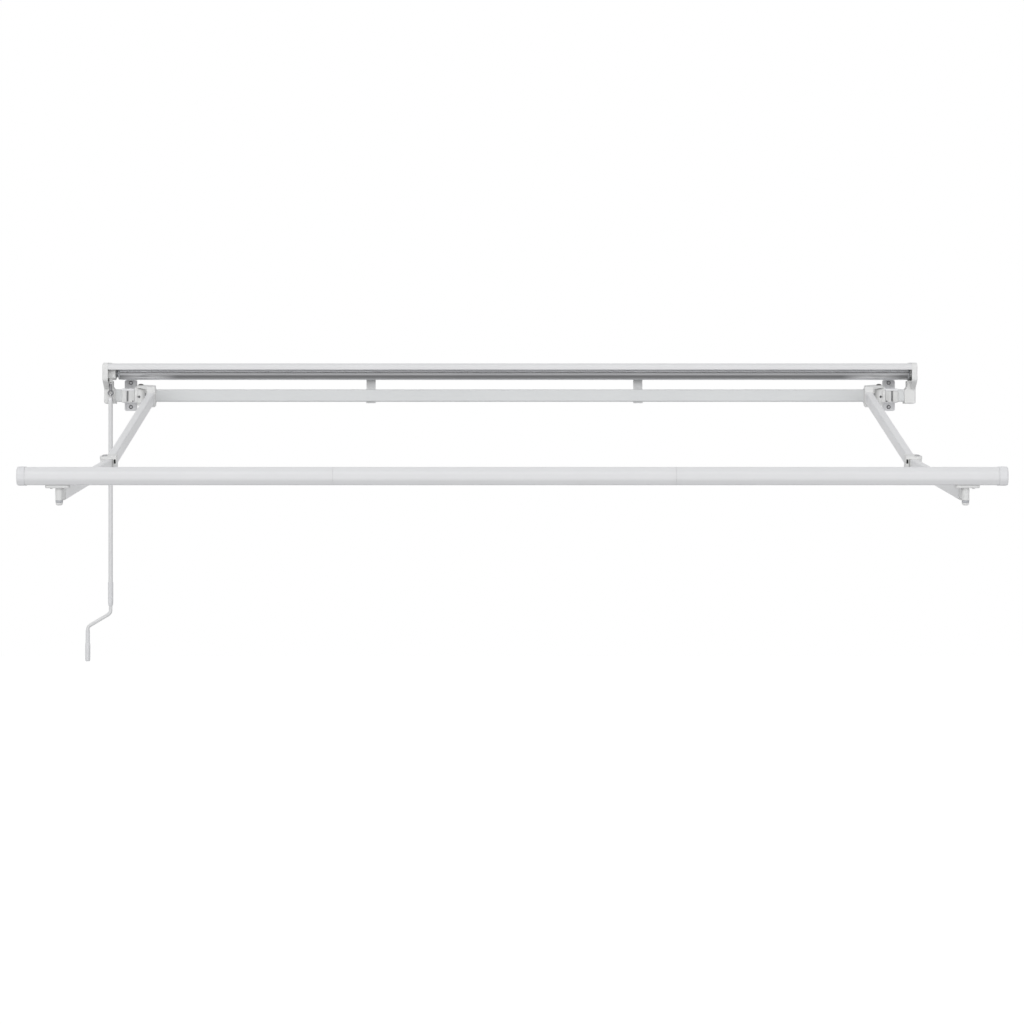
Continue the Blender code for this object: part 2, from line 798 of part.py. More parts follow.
def roller_outline():
    """A circle with roll-formed grooves: narrow ones for the fabric's edge cord and shallow flutes."""
    grooves = []
    for k in range(3):
        grooves.append((CORD_GROOVE_ANGLE + GROOVE_SPACING * k, CORD_GROOVE_WIDTH, CORD_GROOVE_DEPTH, 0.8))
        grooves.append((FLUTE_ANGLE + GROOVE_SPACING * k, FLUTE_WIDTH, FLUTE_DEPTH, 0.6))
    grooves.sort()
    stops = []
    for i, (angle, width, depth, floor) in enumerate(grooves):
        half = math.degrees(width / 2 / ROLLER_RADIUS)
        stops += [(angle - half, ROLLER_RADIUS), (angle - half * floor, ROLLER_RADIUS - depth)]
        stops += [(angle + half * floor, ROLLER_RADIUS - depth), (angle + half, ROLLER_RADIUS)]
        following = grooves[(i + 1) % len(grooves)]
        turn = 360 if i + 1 == len(grooves) else 0
        next_start = following[0] + turn - math.degrees(following[1] / 2 / ROLLER_RADIUS)
        span = next_start - angle - half
        between = max(1, round(span / 10))
        stops += [(angle + half + span * k / between, ROLLER_RADIUS) for k in range(1, between)]
    turns = [(math.radians(angle), r) for angle, r in stops]
    return [(r * math.cos(t), r * math.sin(t)) for t, r in turns]


def roller(finishes):
    """The grooved tube with a plug in each end: a drive stub on the gear side, a pin on the other."""
    axis = axis_empty("roller_axis", (0, ROLLER_Y, ROLLER_Z))
    outside = roller_outline()
    inside = offset(outside, ROLLER_WALL)
    tube = slab(outside, ROLLER_LEFT, ROLLER_RIGHT, "X", [inside])
    add("roller_tube", tube, finishes["roller"], axis)
    inner = ROLLER_RADIUS - ROLLER_WALL - CORD_GROOVE_DEPTH - GAP
    ends = (
        ("roller_gear_plug", ROLLER_LEFT, LEFT, PLUG_DRIVE_RADIUS, PLUG_DRIVE_REACH),
        ("roller_idle_plug", ROLLER_RIGHT, RIGHT, PLUG_PIN_RADIUS, PLUG_PIN_REACH),
    )
    for name, end, side, stub, reach in ends:
        face = end + side * GAP
        profile = [
            (0, face - side * PLUG_SPIGOT),
            (inner - 0.001, face - side * PLUG_SPIGOT),
            (inner, face - side * (PLUG_SPIGOT - 0.003)),
            (inner, face),
            (PLUG_FLANGE_RADIUS, face),
            (PLUG_FLANGE_RADIUS, face + side * (PLUG_FLANGE - 0.001)),
            (PLUG_FLANGE_RADIUS - 0.001, face + side * PLUG_FLANGE),
            (stub, face + side * PLUG_FLANGE),
            (stub, face + side * (PLUG_FLANGE + reach)),
            (0, face + side * (PLUG_FLANGE + reach)),
        ]
        add(name, turned(profile, MEDIUM, "X"), finishes["plug"], axis)


# The crank drive


def gear_housing(finishes):
    """The worm gear's case: a drum round the roller's stub, the worm's box before it and a neck below."""
    outer = -FLOOR_X + GAP
    drum_outline = circle(GEAR_DRUM_RADIUS, MEDIUM, ROLLER_Y, ROLLER_Z)
    drum = slab(drum_outline, outer, GEAR_INNER_X, "X", end_edge=0.002)
    box_high_y = ROLLER_Y
    box_front = GEAR_Y - GEAR_BOX_FRONT
    box_outline = fillet(
        [
            (box_high_y, GEAR_BOX_LOW + 0.004, 0),
            (box_high_y, GEAR_BOX_HIGH, 0),
            (box_front, GEAR_BOX_HIGH, 0.008),
            (box_front, GEAR_BOX_LOW, 0.004),
            (box_high_y - 0.015, GEAR_BOX_LOW, 0),
        ]
    )
    box_inner = GEAR_INNER_X + 0.0006
    box = slab(box_outline, box_inner - GEAR_BOX_WIDTH, box_inner, "X", end_edge=0.0015, start_edge=0.0015)
    neck_outline = circle(GEAR_NECK_RADIUS, MEDIUM, GEAR_X, GEAR_Y)
    neck = slab(neck_outline, GEAR_NECK_LOW, GEAR_BOX_LOW + 0.010, "Z", start_edge=0.001)
    stub_reach = -(ROLLER_LEFT - GAP - PLUG_FLANGE - PLUG_DRIVE_REACH) + 0.001
    stub_outline = bore(PLUG_DRIVE_RADIUS + PLAY, MEDIUM, ROLLER_Y, ROLLER_Z)
    stub_hole = slab(stub_outline, -stub_reach, GEAR_INNER_X + OVERSHOOT, "X")
    worm_outline = bore(WORM_RADIUS + PLAY, COARSE, GEAR_X, GEAR_Y)
    worm_hole = slab(worm_outline, GEAR_NECK_LOW - OVERSHOOT, WORM_TOP + 0.001, "Z")
    mesh = cut(join(drum, box, neck), stub_hole, worm_hole)
    add("gear_housing", mesh, finishes["casting"])


def worm_eye(finishes):
    """The worm's shaft with the ring that the crank hooks into, turning about the shaft's axis."""
    axis = axis_empty("worm_axis", (GEAR_X, GEAR_Y, EYE_Z))
    bm = bmesh.new()
    sides, around = 16, 8
    for i in range(sides):
        turn = 2 * math.pi * i / sides
        for k in range(around):
            tilt = 2 * math.pi * k / around
            reach = EYE_RING_RADIUS + EYE_WIRE_RADIUS * math.cos(tilt)
            height = EYE_WIRE_RADIUS * math.sin(tilt)
            bm.verts.new((reach * math.cos(turn), height, reach * math.sin(turn)))
    bm.verts.ensure_lookup_table()
    for i in range(sides):
        for k in range(around):
            corners = [(i, k), (i, k + 1), (i + 1, k + 1), (i + 1, k)]
            bm.faces.new([bm.verts[(a % sides) * around + b % around] for a, b in corners])
    ring = finished(bm, "ring")
    shaft = slab(circle(WORM_RADIUS, COARSE), EYE_RING_RADIUS, WORM_TOP - EYE_Z, "Z")
    add("worm_eye", join(ring, shaft), finishes["steel"], axis)
    return axis


def crank(worm_axis, finishes):
    """The crank hangs in the eye: a wire hook, a bent tube and two sleeves that turn in the hands."""
    hinge = axis_empty("crank_axis", (0, 0, -EYE_Z), worm_axis)
    ferrule_top = -CRANK_TOP + GAP + FERRULE_HEIGHT
    arc = [math.pi * k / 8 for k in range(9)]
    bail = [(0, HOOK_BEND_RADIUS * math.cos(t), HOOK_BEND_RADIUS * math.sin(t)) for t in arc]
    tip = (0, -HOOK_BEND_RADIUS, -HOOK_WIRE_RADIUS / 2)
    line = [(0, HOOK_BEND_RADIUS, ferrule_top - FERRULE_HEIGHT / 2)] + bail + [tip]
    wire = swept(line, (1, 0, 0), [HOOK_WIRE_RADIUS] * len(line), COARSE)
    spigot = CRANK_RADIUS - CRANK_WALL - PLAY
    profile = [
        (0, ferrule_top),
        (FERRULE_RADIUS - 0.001, ferrule_top),
        (FERRULE_RADIUS, ferrule_top - 0.001),
        (FERRULE_RADIUS, -CRANK_TOP + GAP),
        (spigot, -CRANK_TOP + GAP),
        (spigot, -CRANK_TOP - FERRULE_SPIGOT),
        (0, -CRANK_TOP - FERRULE_SPIGOT),
    ]
    add("crank_hook", join(turned(profile, CRANK_SIDES, "Z"), wire), finishes["steel"], hinge)
    sleeve_top = CRANK_SLEEVE_RISE - CRANK_LENGTH
    sleeve_low = sleeve_top - CRANK_SLEEVE_LENGTH
    step = sleeve_low + CRANK_SLEEVE_THROAT + PLAY
    corners = [
        (0, -CRANK_TOP, 0),
        (0, step + CRANK_RADIUS - CRANK_LOW_RADIUS, 0),
        (0, step, 0),
        (0, CRANK_UPPER_BEND_RISE - CRANK_LENGTH, CRANK_BEND_RADIUS),
        (-CRANK_OFFSET, CRANK_LOWER_BEND_RISE - CRANK_LENGTH, CRANK_BEND_RADIUS),
        (-CRANK_OFFSET, -CRANK_LENGTH, 0),
    ]
    line = [(x, 0, z) for x, z in fillet(corners, 4, closed=False)]
    radii = [CRANK_RADIUS if z > step else CRANK_LOW_RADIUS for x, y, z in line]
    add("crank_rod", swept(line, (0, 1, 0), radii, CRANK_SIDES, CRANK_WALL), finishes["crank"], hinge)
    outer = CRANK_SLEEVE_RADIUS
    inner = CRANK_RADIUS + PLAY
    throat = CRANK_LOW_RADIUS + PLAY
    taper = sleeve_low + CRANK_SLEEVE_THROAT
    sleeve = [
        (outer - 0.0005, sleeve_top),
        (outer, sleeve_top - 0.001),
        (outer, taper),
        (throat + 0.001, sleeve_low),
        (throat, sleeve_low),
        (throat, taper - (inner - throat)),
        (inner, taper),
        (inner, sleeve_top),
    ]
    add("crank_sleeve", turned(sleeve, MEDIUM, "Z", closed=True), finishes["plastic"], hinge)
    grip_top = GRIP_RISE - CRANK_LENGTH
    neck_low = grip_top - GRIP_NECK
    end = -CRANK_LENGTH - GRIP_CAP
    grip = [
        (throat, grip_top),
        (GRIP_NECK_RADIUS, grip_top),
        (GRIP_NECK_RADIUS + 0.0003, neck_low),
        (GRIP_RADIUS, neck_low - 0.005),
        (GRIP_RADIUS, end + 0.004),
        (GRIP_RADIUS - 0.0015, end + 0.0008),
        (GRIP_RADIUS - 0.004, end),
        (0, end),
        (0, -CRANK_LENGTH - PLAY),
        (throat, -CRANK_LENGTH - PLAY),
    ]
    grip_axis = axis_empty("grip_axis", (-CRANK_OFFSET, 0, 0), hinge)
    add("crank_grip", turned(grip, MEDIUM, "Z", closed=True), finishes["plastic"], grip_axis)


# The arms. Each joint's empty has its Z axis on the pin, so a mesh is drawn round its own pin


def lies(side, inward):
    """The local X of a place this far inward of a pin."""
    return -side * inward


def plan(side, points):
    """Places given as (inward, forward) of a pin, as an outline seen along the pin."""
    return [(lies(side, inward), -forward) for inward, forward in points]


def block(side, inward, forward, half, low=None):
    """A box between two inward places and two forward places, seen along the pin."""
    (near, far), (rear, front) = inward, forward
    corners = [(near, rear), (far, rear), (far, front), (near, front)]
    return slab(plan(side, corners), -half if low is None else low, half, "Z")


def tube_line(side, start_inward, end_inward, drop):
    """A frame on a link's tube, with -Y along the tube to the next pin and X level across it."""
    start = Vector((lies(side, start_inward), 0, 0))
    end = Vector((lies(side, end_inward), -LINK, -drop))
    along = (start - end).normalized()
    across = along.cross(Vector((0, 0, 1))).normalized()
    frame = Matrix((across, along, across.cross(along))).transposed().to_4x4()
    frame.translation = start
    return frame, (end - start).length


def tube_between(frame, height, start, end):
    outside = rectangle(TUBE_WIDTH, height, TUBE_CORNER)
    inside = rectangle(TUBE_WIDTH - 2 * TUBE_WALL, height - 2 * TUBE_WALL, TUBE_CORNER - TUBE_WALL)
    return moved(slab(outside, -start, -end, "Y", [inside]), frame)


def casting_end(frame, height, root, seat, sign, grow=0.0):
    """The part of a casting that meets a tube: a block from root to seat and a spigot inside the tube."""
    outline = rectangle(TUBE_WIDTH + grow, height + grow, TUBE_CORNER, steps=1)
    spare = 2 * (TUBE_WALL + SPIGOT_PLAY)
    thin = rectangle(TUBE_WIDTH - spare, height - spare, TUBE_CORNER - TUBE_WALL, steps=1)
    body = slab(outline, -root, -seat, "Y")
    spigot = slab(thin, -(root + seat) / 2, -seat - sign * SPIGOT, "Y")
    tail = bore(SPRING_TAIL_RADIUS + GAP, COARSE)
    socket = slab(tail, -seat - sign * (SPIGOT - TAIL_SOCKET - GAP), -seat - sign * (SPIGOT + OVERSHOOT), "Y")
    return moved(cut(join(body, spigot), socket), frame)


def pin_bore(half):
    return slab(bore(PIN_RADIUS + GAP, COARSE), -half - OVERSHOOT, half + OVERSHOOT, "Z")


def arm_pin(half, collar_low):
    """A pin with a domed head on top, a collar in the throat and a riveted end below."""
    profile = [
        (0, half + PIN_HEAD_HEIGHT),
        (PIN_HEAD_RADIUS * 0.7, half + PIN_HEAD_HEIGHT),
        (PIN_HEAD_RADIUS, half + PIN_HEAD_HEIGHT * 0.4),
        (PIN_HEAD_RADIUS, half + GAP),
        (PIN_RADIUS, half + GAP),
        (PIN_RADIUS, -half - PIN_HEAD_HEIGHT / 2),
        (PIN_RADIUS * 0.7, -half - PIN_HEAD_HEIGHT),
        (0, -half - PIN_HEAD_HEIGHT),
    ]
    pin = turned(profile, COARSE, "Z")
    if collar_low is None:
        return pin
    collar = slab(circle(PIN_COLLAR_RADIUS, COARSE), collar_low + GAP, KNUCKLE_HALF + GAP, "Z")
    return join(pin, collar)


def arm_bracket(side, word, finishes):
    """A channel that hooks over the bar from the front, with two cheeks that carry the pitch bolt."""
    over = HALF_BAR + GAP
    outer_z = over + ARM_BRACKET_WALL
    front = BAR_FRONT - ARM_BRACKET_FRONT
    rear = BAR_REAR + ARM_BRACKET_BACK
    lip_z = outer_z - ARM_BRACKET_WALL - ARM_BRACKET_LIP
    lip_y = rear - ARM_BRACKET_LIP_THICKNESS
    half_line = [
        (front, outer_z, 0.003),
        (rear, outer_z, 0.003),
        (rear, lip_z, 0.001),
        (lip_y, lip_z, 0),
        (lip_y, over, 0),
        (BAR_FRONT - GAP, over, 0),
    ]
    corners = half_line + [(y, -z, radius) for y, z, radius in half_line[::-1]]
    inner, outer = side * ARM_BRACKET_INNER_X, side * ARM_BRACKET_OUTER_X
    channel = slab(fillet(corners), inner, outer, "X", start_edge=0.0012, end_edge=0.0012)
    root = [(front + 0.004, -outer_z + 0.001), (front + 0.004, outer_z - 0.001)]
    cheek_line = hull(circle(CHEEK_RADIUS, FINE, PITCH_Y, PITCH_Z) + root)
    cheeks = []
    for near in (CHEEK_INNER_X, ARM_BRACKET_OUTER_X - CHEEK_THICKNESS - CHEEK_RECESS):
        far = near + CHEEK_THICKNESS
        cheeks.append(slab(cheek_line, side * near, side * far, "X", start_edge=0.001, end_edge=0.001))
    bolt_line = bore(PITCH_BOLT_RADIUS + GAP, COARSE, PITCH_Y, PITCH_Z)
    hole_ends = (side * (CHEEK_INNER_X - OVERSHOOT), side * (ARM_BRACKET_OUTER_X + OVERSHOOT))
    bolt_hole = slab(bolt_line, *hole_ends, "X")
    mesh = cut(join(channel, *cheeks), bolt_hole)
    add(f"arm_bracket_{word}", mesh, finishes["casting"])
    jaw_half_y = (lip_y - GAP - (BAR_REAR + GAP)) / 2
    jaw_line = rectangle(2 * jaw_half_y, 2 * (over - GAP - 0.0003), 0.001, BAR_REAR + GAP + jaw_half_y)
    jaw = slab(jaw_line, inner + side * 0.001, outer - side * 0.001, "X")
    add(f"clamp_jaw_{word}", jaw, finishes["bracket"])
    seats = (CHEEK_INNER_X - GAP, ARM_BRACKET_OUTER_X - CHEEK_RECESS + GAP)
    profile = [
        (0, seats[0] - PITCH_HEAD_HEIGHT),
        (PITCH_HEAD_RADIUS * 0.8, seats[0] - PITCH_HEAD_HEIGHT),
        (PITCH_HEAD_RADIUS, seats[0] - PITCH_HEAD_HEIGHT * 0.7),
        (PITCH_HEAD_RADIUS, seats[0]),
        (PITCH_BOLT_RADIUS, seats[0]),
        (PITCH_BOLT_RADIUS, seats[1]),
        (PITCH_BOLT_RADIUS, seats[1] + PITCH_HEAD_HEIGHT),
        (0, seats[1] + PITCH_HEAD_HEIGHT),
    ]
    bolt = turned([(radius, side * x) for radius, x in profile], COARSE, "X")
    add(f"pitch_bolt_{word}", bolt, finishes["fastener"], location=(0, PITCH_Y, PITCH_Z))


def shoulder_knuckle(side):
    """The piece that tilts on the pitch bolt and carries the upright barrel of the shoulder pin."""
    to_bolt = Matrix.Rotation(-PITCH, 2) @ Vector((PITCH_Y - SHOULDER_Y, PITCH_Z - SHOULDER_Z))
    bolt_outward = PITCH_BOLT_X - ARM_PIN_X
    side_line = [
        (KNUCKLE_REAR, -KNUCKLE_HALF, 0.003),
        (KNUCKLE_REAR, KNUCKLE_HALF, 0.004),
        (KNUCKLE_SLOPE_TOP, KNUCKLE_HALF, 0.004),
        (-KNUCKLE_FRONT, KNUCKLE_SLOPE_LOW, 0.003),
        (-KNUCKLE_FRONT, -KNUCKLE_HALF, 0.003),
    ]
    inner = KNUCKLE_INNER_X - ARM_PIN_X
    body = slab(fillet(side_line), side * inner, side * (inner + KNUCKLE_WIDTH), "X", end_edge=0.002)
    barrel = slab(circle(KNUCKLE_BARREL_RADIUS, FINE), -KNUCKLE_HALF, KNUCKLE_BARREL_TOP, "Z", end_edge=0.001)
    lug_inner = side * (CHEEK_INNER_X + CHEEK_THICKNESS + PLAY - ARM_PIN_X)
    lug_outer = side * (ARM_BRACKET_OUTER_X - CHEEK_THICKNESS - CHEEK_RECESS - PLAY - ARM_PIN_X)
    half = KNUCKLE_LUG_RADIUS
    root = [(KNUCKLE_REAR - 0.004, to_bolt.y - half), (KNUCKLE_REAR - 0.004, to_bolt.y + half)]
    lug_line = hull(circle(half, FINE, to_bolt.x, to_bolt.y) + root)
    lug = slab(lug_line, lug_inner, lug_outer, "X", start_edge=0.0005, end_edge=0.0005)
    hole_line = bore(PITCH_BOLT_RADIUS + PLAY, COARSE, to_bolt.x, to_bolt.y)
    bolt_hole = slab(hole_line, lug_inner - side * OVERSHOOT, lug_outer + side * OVERSHOOT, "X")
    lock_line = circle(LOCK_HOLE_RADIUS, COARSE, side * bolt_outward, -LOCK_HOLE_DROP)
    lock = slab(lock_line, -KNUCKLE_FRONT - OVERSHOOT, -KNUCKLE_FRONT + LOCK_HOLE_DEPTH, "Y")
    return cut(join(body, barrel, lug), pin_bore(KNUCKLE_HALF), bolt_hole, lock)


def shoulder_fork(side, frame):
    """Two ears over and under the knuckle's barrel, a root beside it and a spigot for the tube."""
    half = SHOULDER_HALF
    root = [(SHOULDER_THROAT, SHOULDER_ROOT_START), (SHOULDER_ROOT - 0.004, SHOULDER_ROOT_START)]
    root += [(SHOULDER_ROOT, SHOULDER_ROOT_START + 0.004), (SHOULDER_ROOT, SHOULDER_ROOT_END)]
    root += [(SHOULDER_THROAT, SHOULDER_ROOT_END)]
    outline = hull(circle(SHOULDER_EAR_RADIUS, FINE) + plan(side, root))
    ears = slab(outline, -half, half, "Z", start_edge=0.0015, end_edge=0.0015)
    end = casting_end(frame, UPPER_HEIGHT, SHOULDER_BLOCK_START, SHOULDER_TUBE_START - GAP, 1, 0.003)
    mouth = KNUCKLE_HALF + PLAY
    throat = block(side, (-THROAT_REACH, SHOULDER_THROAT), (-THROAT_REACH, THROAT_REACH), mouth)
    rear_throat = block(side, (0.0, THROAT_REACH), (-THROAT_REACH, SHOULDER_ROOT_START), mouth)
    return cut(join(ears, end), throat, rear_throat, pin_bore(half))


def elbow_fork(side, frame, length):
    """Two ears for the forearm's eye, open to the front and the outer side, with a stop beside it."""
    half = ELBOW_HALF
    end = length - ELBOW_FORK_END
    rear = -ELBOW_FORK_END + 0.004
    root = [(ELBOW_ROOT_OUTER, rear), (ELBOW_ROOT_INNER, rear), (ELBOW_ROOT_OUTER, -ELBOW_FORK_END / 2)]
    root += [(ELBOW_ROOT_INNER, ELBOW_SHOULDER_REACH), (ELBOW_SHOULDER_INWARD, ELBOW_SHOULDER_REACH)]
    outline = hull(circle(ELBOW_EAR_RADIUS, FINE) + plan(side, root))
    ears = slab(outline, -half, half, "Z", start_edge=0.0015, end_edge=0.0015)
    frame = Matrix.Translation((0, LINK, ELBOW_DROP)) @ frame
    tail = casting_end(frame, UPPER_HEIGHT, end + 0.012, end + GAP, -1)
    mouth = ELBOW_EYE_HALF + PLAY
    round_throat = slab(circle(ELBOW_THROAT_RADIUS, FINE), -mouth, mouth, "Z")
    front_throat = block(side, (-THROAT_REACH, ELBOW_SHOULDER_INWARD), (0.0, THROAT_REACH), mouth)
    side_throat = block(side, (-THROAT_REACH, ELBOW_ROOT_OUTER), (-THROAT_REACH, 0.002), mouth)
    pocket_inward = (ELBOW_SHOULDER_INWARD + ELBOW_ROOT_INNER) / 2
    width, height, depth = ELBOW_POCKET
    inward = (pocket_inward - width / 2, pocket_inward + width / 2)
    forward = (ELBOW_SHOULDER_REACH - depth, ELBOW_SHOULDER_REACH + OVERSHOOT)
    pocket = block(side, inward, forward, height * 1.4, height * 0.4)
    return cut(join(ears, tail), round_throat, front_throat, side_throat, pocket, pin_bore(half))


def elbow_eye(side, frame):
    """The eye that turns between the fork's ears, with a neck to the forearm's tube."""
    half = ELBOW_EYE_HALF
    width = TUBE_WIDTH / 2
    near, far = ELBOW_TUBE_INWARD - width, ELBOW_TUBE_INWARD + width
    barrel = slab(circle(ELBOW_EYE_RADIUS, FINE), -half, half, "Z")
    neck_line = [(far, ELBOW_NECK_START), (far, ELBOW_NECK_END), (near, ELBOW_NECK_END), (near, 0.0)]
    neck_line += [(a, b) for a, b in circle(ELBOW_EYE_RADIUS, FINE) if a > near]
    neck = slab(hull(plan(side, neck_line)), -half, half, "Z")
    end = casting_end(frame, FORE_HEIGHT, ELBOW_NECK_END - 0.008, ELBOW_EYE_END - GAP, 1)
    return cut(join(barrel, neck, end), pin_bore(half))


def wrist_eye(side, frame, length):
    """The eye on the forearm's end, thin enough to swing under the wrist bracket's plate."""
    neck_end = -WRIST_NECK_END - 0.003
    width = TUBE_WIDTH / 2
    barrel = slab(circle(WRIST_EYE_RADIUS, MEDIUM), -WRIST_EYE_HALF, WRIST_EYE_HALF, "Z")
    neck_line = [(-width, neck_end), (width, neck_end), (width, neck_end + 0.014), (-width, neck_end + 0.014)]
    outline = hull(circle(WRIST_EYE_RADIUS, MEDIUM) + plan(side, neck_line))
    neck = slab(outline, -WRIST_NECK_HALF, WRIST_NECK_HALF, "Z")
    end = length - WRIST_EYE_END
    frame = Matrix.Translation((0, LINK, -ELBOW_DROP)) @ frame
    tail = casting_end(frame, FORE_HEIGHT, end + WRIST_EYE_END - WRIST_NECK_END, end + GAP, -1)
    return cut(join(barrel, neck, tail), pin_bore(WRIST_EYE_HALF))


def arm_spring(frame, start, end):
    """A close-wound tension spring inside the upper arm, with straight tails to the two castings."""
    tail_start = start + SPIGOT - TAIL_SOCKET + GAP
    tail_end = end - SPIGOT + TAIL_SOCKET - GAP
    coil = start + (end - start) * SPRING_PLACE
    ridge = SPRING_LENGTH / SPRING_RIDGES
    profile = [(0, -tail_start), (SPRING_TAIL_RADIUS, -tail_start), (SPRING_TAIL_RADIUS, -coil)]
    for k in range(SPRING_RIDGES):
        at = coil + ridge * k
        profile += [(SPRING_RADIUS, -at - ridge * 0.08), (SPRING_RADIUS, -at - ridge * 0.82)]
        profile.append((SPRING_RADIUS - SPRING_GROOVE, -at - ridge * 0.95))
    profile += [(SPRING_TAIL_RADIUS, -coil - SPRING_LENGTH - SPRING_TAIL_RADIUS)]
    profile += [(SPRING_TAIL_RADIUS, -tail_end), (0, -tail_end)]
    return moved(turned(profile, SPRING_SIDES, "Y"), frame)


def arm(side, word, finishes):
    """One folding arm, from its bracket on the bar to its wrist pin. Returns the wrist's empty."""
    arm_bracket(side, word, finishes)
    tilt = axis_empty(f"pitch_axis_{word}", (side * ARM_PIN_X, PITCH_Y, PITCH_Z))
    to_shoulder = (0, SHOULDER_Y - PITCH_Y, SHOULDER_Z - PITCH_Z)
    carrier = axis_empty(f"knuckle_axis_{word}", to_shoulder, tilt, (PITCH, 0, 0))
    add(f"shoulder_knuckle_{word}", shoulder_knuckle(side), finishes["casting"], carrier)
    pin = arm_pin(SHOULDER_HALF, KNUCKLE_BARREL_TOP)
    add(f"shoulder_pin_{word}", pin, finishes["steel"], carrier)

    shoulder = axis_empty(f"shoulder_axis_{word}", (0, 0, 0), carrier)
    frame, length = tube_line(side, SHOULDER_TUBE_INWARD, ELBOW_TUBE_INWARD, ELBOW_DROP)
    end = length - ELBOW_FORK_END
    add(f"shoulder_fork_{word}", shoulder_fork(side, frame), finishes["casting"], shoulder)
    tube = tube_between(frame, UPPER_HEIGHT, SHOULDER_TUBE_START, end)
    add(f"upper_arm_{word}", tube, finishes["arm"], shoulder)
    spring = arm_spring(frame, SHOULDER_TUBE_START, end)
    add(f"arm_spring_{word}", spring, finishes["steel"], shoulder)
    elbow_place = Vector((0, -LINK, -ELBOW_DROP))
    add(f"elbow_fork_{word}", elbow_fork(side, frame, length), finishes["casting"], shoulder, elbow_place)
    add(f"elbow_pin_{word}", arm_pin(ELBOW_HALF, None), finishes["steel"], shoulder, elbow_place)

    elbow = axis_empty(f"elbow_axis_{word}", elbow_place, shoulder)
    frame, length = tube_line(side, ELBOW_TUBE_INWARD, 0.0, -ELBOW_DROP)
    add(f"elbow_eye_{word}", elbow_eye(side, frame), finishes["casting"], elbow)
    tube = tube_between(frame, FORE_HEIGHT, ELBOW_EYE_END, length - WRIST_EYE_END)
    add(f"forearm_{word}", tube, finishes["arm"], elbow)
    wrist_place = Vector((0, -LINK, ELBOW_DROP))
    add(f"wrist_eye_{word}", wrist_eye(side, frame, length), finishes["casting"], elbow, wrist_place)
    return axis_empty(f"wrist_axis_{word}", wrist_place, elbow)


# The front bar


def slot_detour(y, face, sign):
    """The outline's way round an undercut slot for an edge cord, from its left lip to its right lip."""
    mouth, half = SLOT_MOUTH / 2, SLOT_WIDTH / 2
    lip, deep = face - sign * SLOT_LIP, face - sign * (SLOT_LIP + SLOT_DEPTH)
    steps = [(-mouth, face), (-mouth, lip), (-half, lip), (-half, deep)]
    steps += [(half, deep), (half, lip), (mouth, lip), (mouth, face)]
    return [(y + a, z, 0) for a, z in steps]


def hollow_detour(y, face, sign):
    """The inside wall's way round the same slot."""
    half = SLOT_WIDTH / 2 + FRONT_WALL
    inside = face - sign * FRONT_WALL
    deep = face - sign * (SLOT_LIP + SLOT_DEPTH + FRONT_WALL)
    return [(y - half, inside, 0), (y - half, deep, 0), (y + half, deep, 0), (y + half, inside, 0)]


def front_section():
    """The front bar's section and its hollow, round its own centre: a rounded nose and two slots."""
    half_y, half_z = FRONT_DEPTH / 2, FRONT_HEIGHT / 2
    wall = FRONT_WALL
    outside = [(-half_y, half_z * 0.40, 0.020), (-half_y * 0.62, half_z, 0.008)]
    outside += slot_detour(FABRIC_SLOT_Y, half_z, 1)
    outside += [(half_y, half_z, 0.004), (half_y, -half_z, 0.004)]
    outside += slot_detour(VALANCE_SLOT_Y, -half_z, -1)[::-1]
    outside += [(-half_y * 0.68, -half_z, 0.007), (-half_y, -half_z * 0.42, 0.018)]
    inside = [(-half_y + wall, half_z * 0.36, 0.018), (-half_y * 0.60, half_z - wall, 0.006)]
    inside += hollow_detour(FABRIC_SLOT_Y, half_z, 1)
    inside += [(half_y - wall, half_z - wall, 0.002), (half_y - wall, -half_z + wall, 0.002)]
    inside += hollow_detour(VALANCE_SLOT_Y, -half_z, -1)[::-1]
    inside += [(-half_y * 0.66, -half_z + wall, 0.005), (-half_y + wall, -half_z * 0.38, 0.016)]
    return fillet(outside, 3), fillet(inside, 2)


def spigot_corners():
    """The outline that fits between the two slots inside the front bar, with sharp corners."""
    deep = SLOT_LIP + SLOT_DEPTH + FRONT_WALL + GAP
    half_z = FRONT_HEIGHT / 2 - deep
    half_y = FRONT_DEPTH / 2 - FRONT_WALL - GAP
    front = -half_y + 0.003
    corners = [(front, -half_z * 0.6), (front, half_z * 0.6), (front + 0.008, half_z), (half_y, half_z)]
    corners += [(half_y, -half_z), (front + 0.008, -half_z)]
    return counterclockwise(corners)


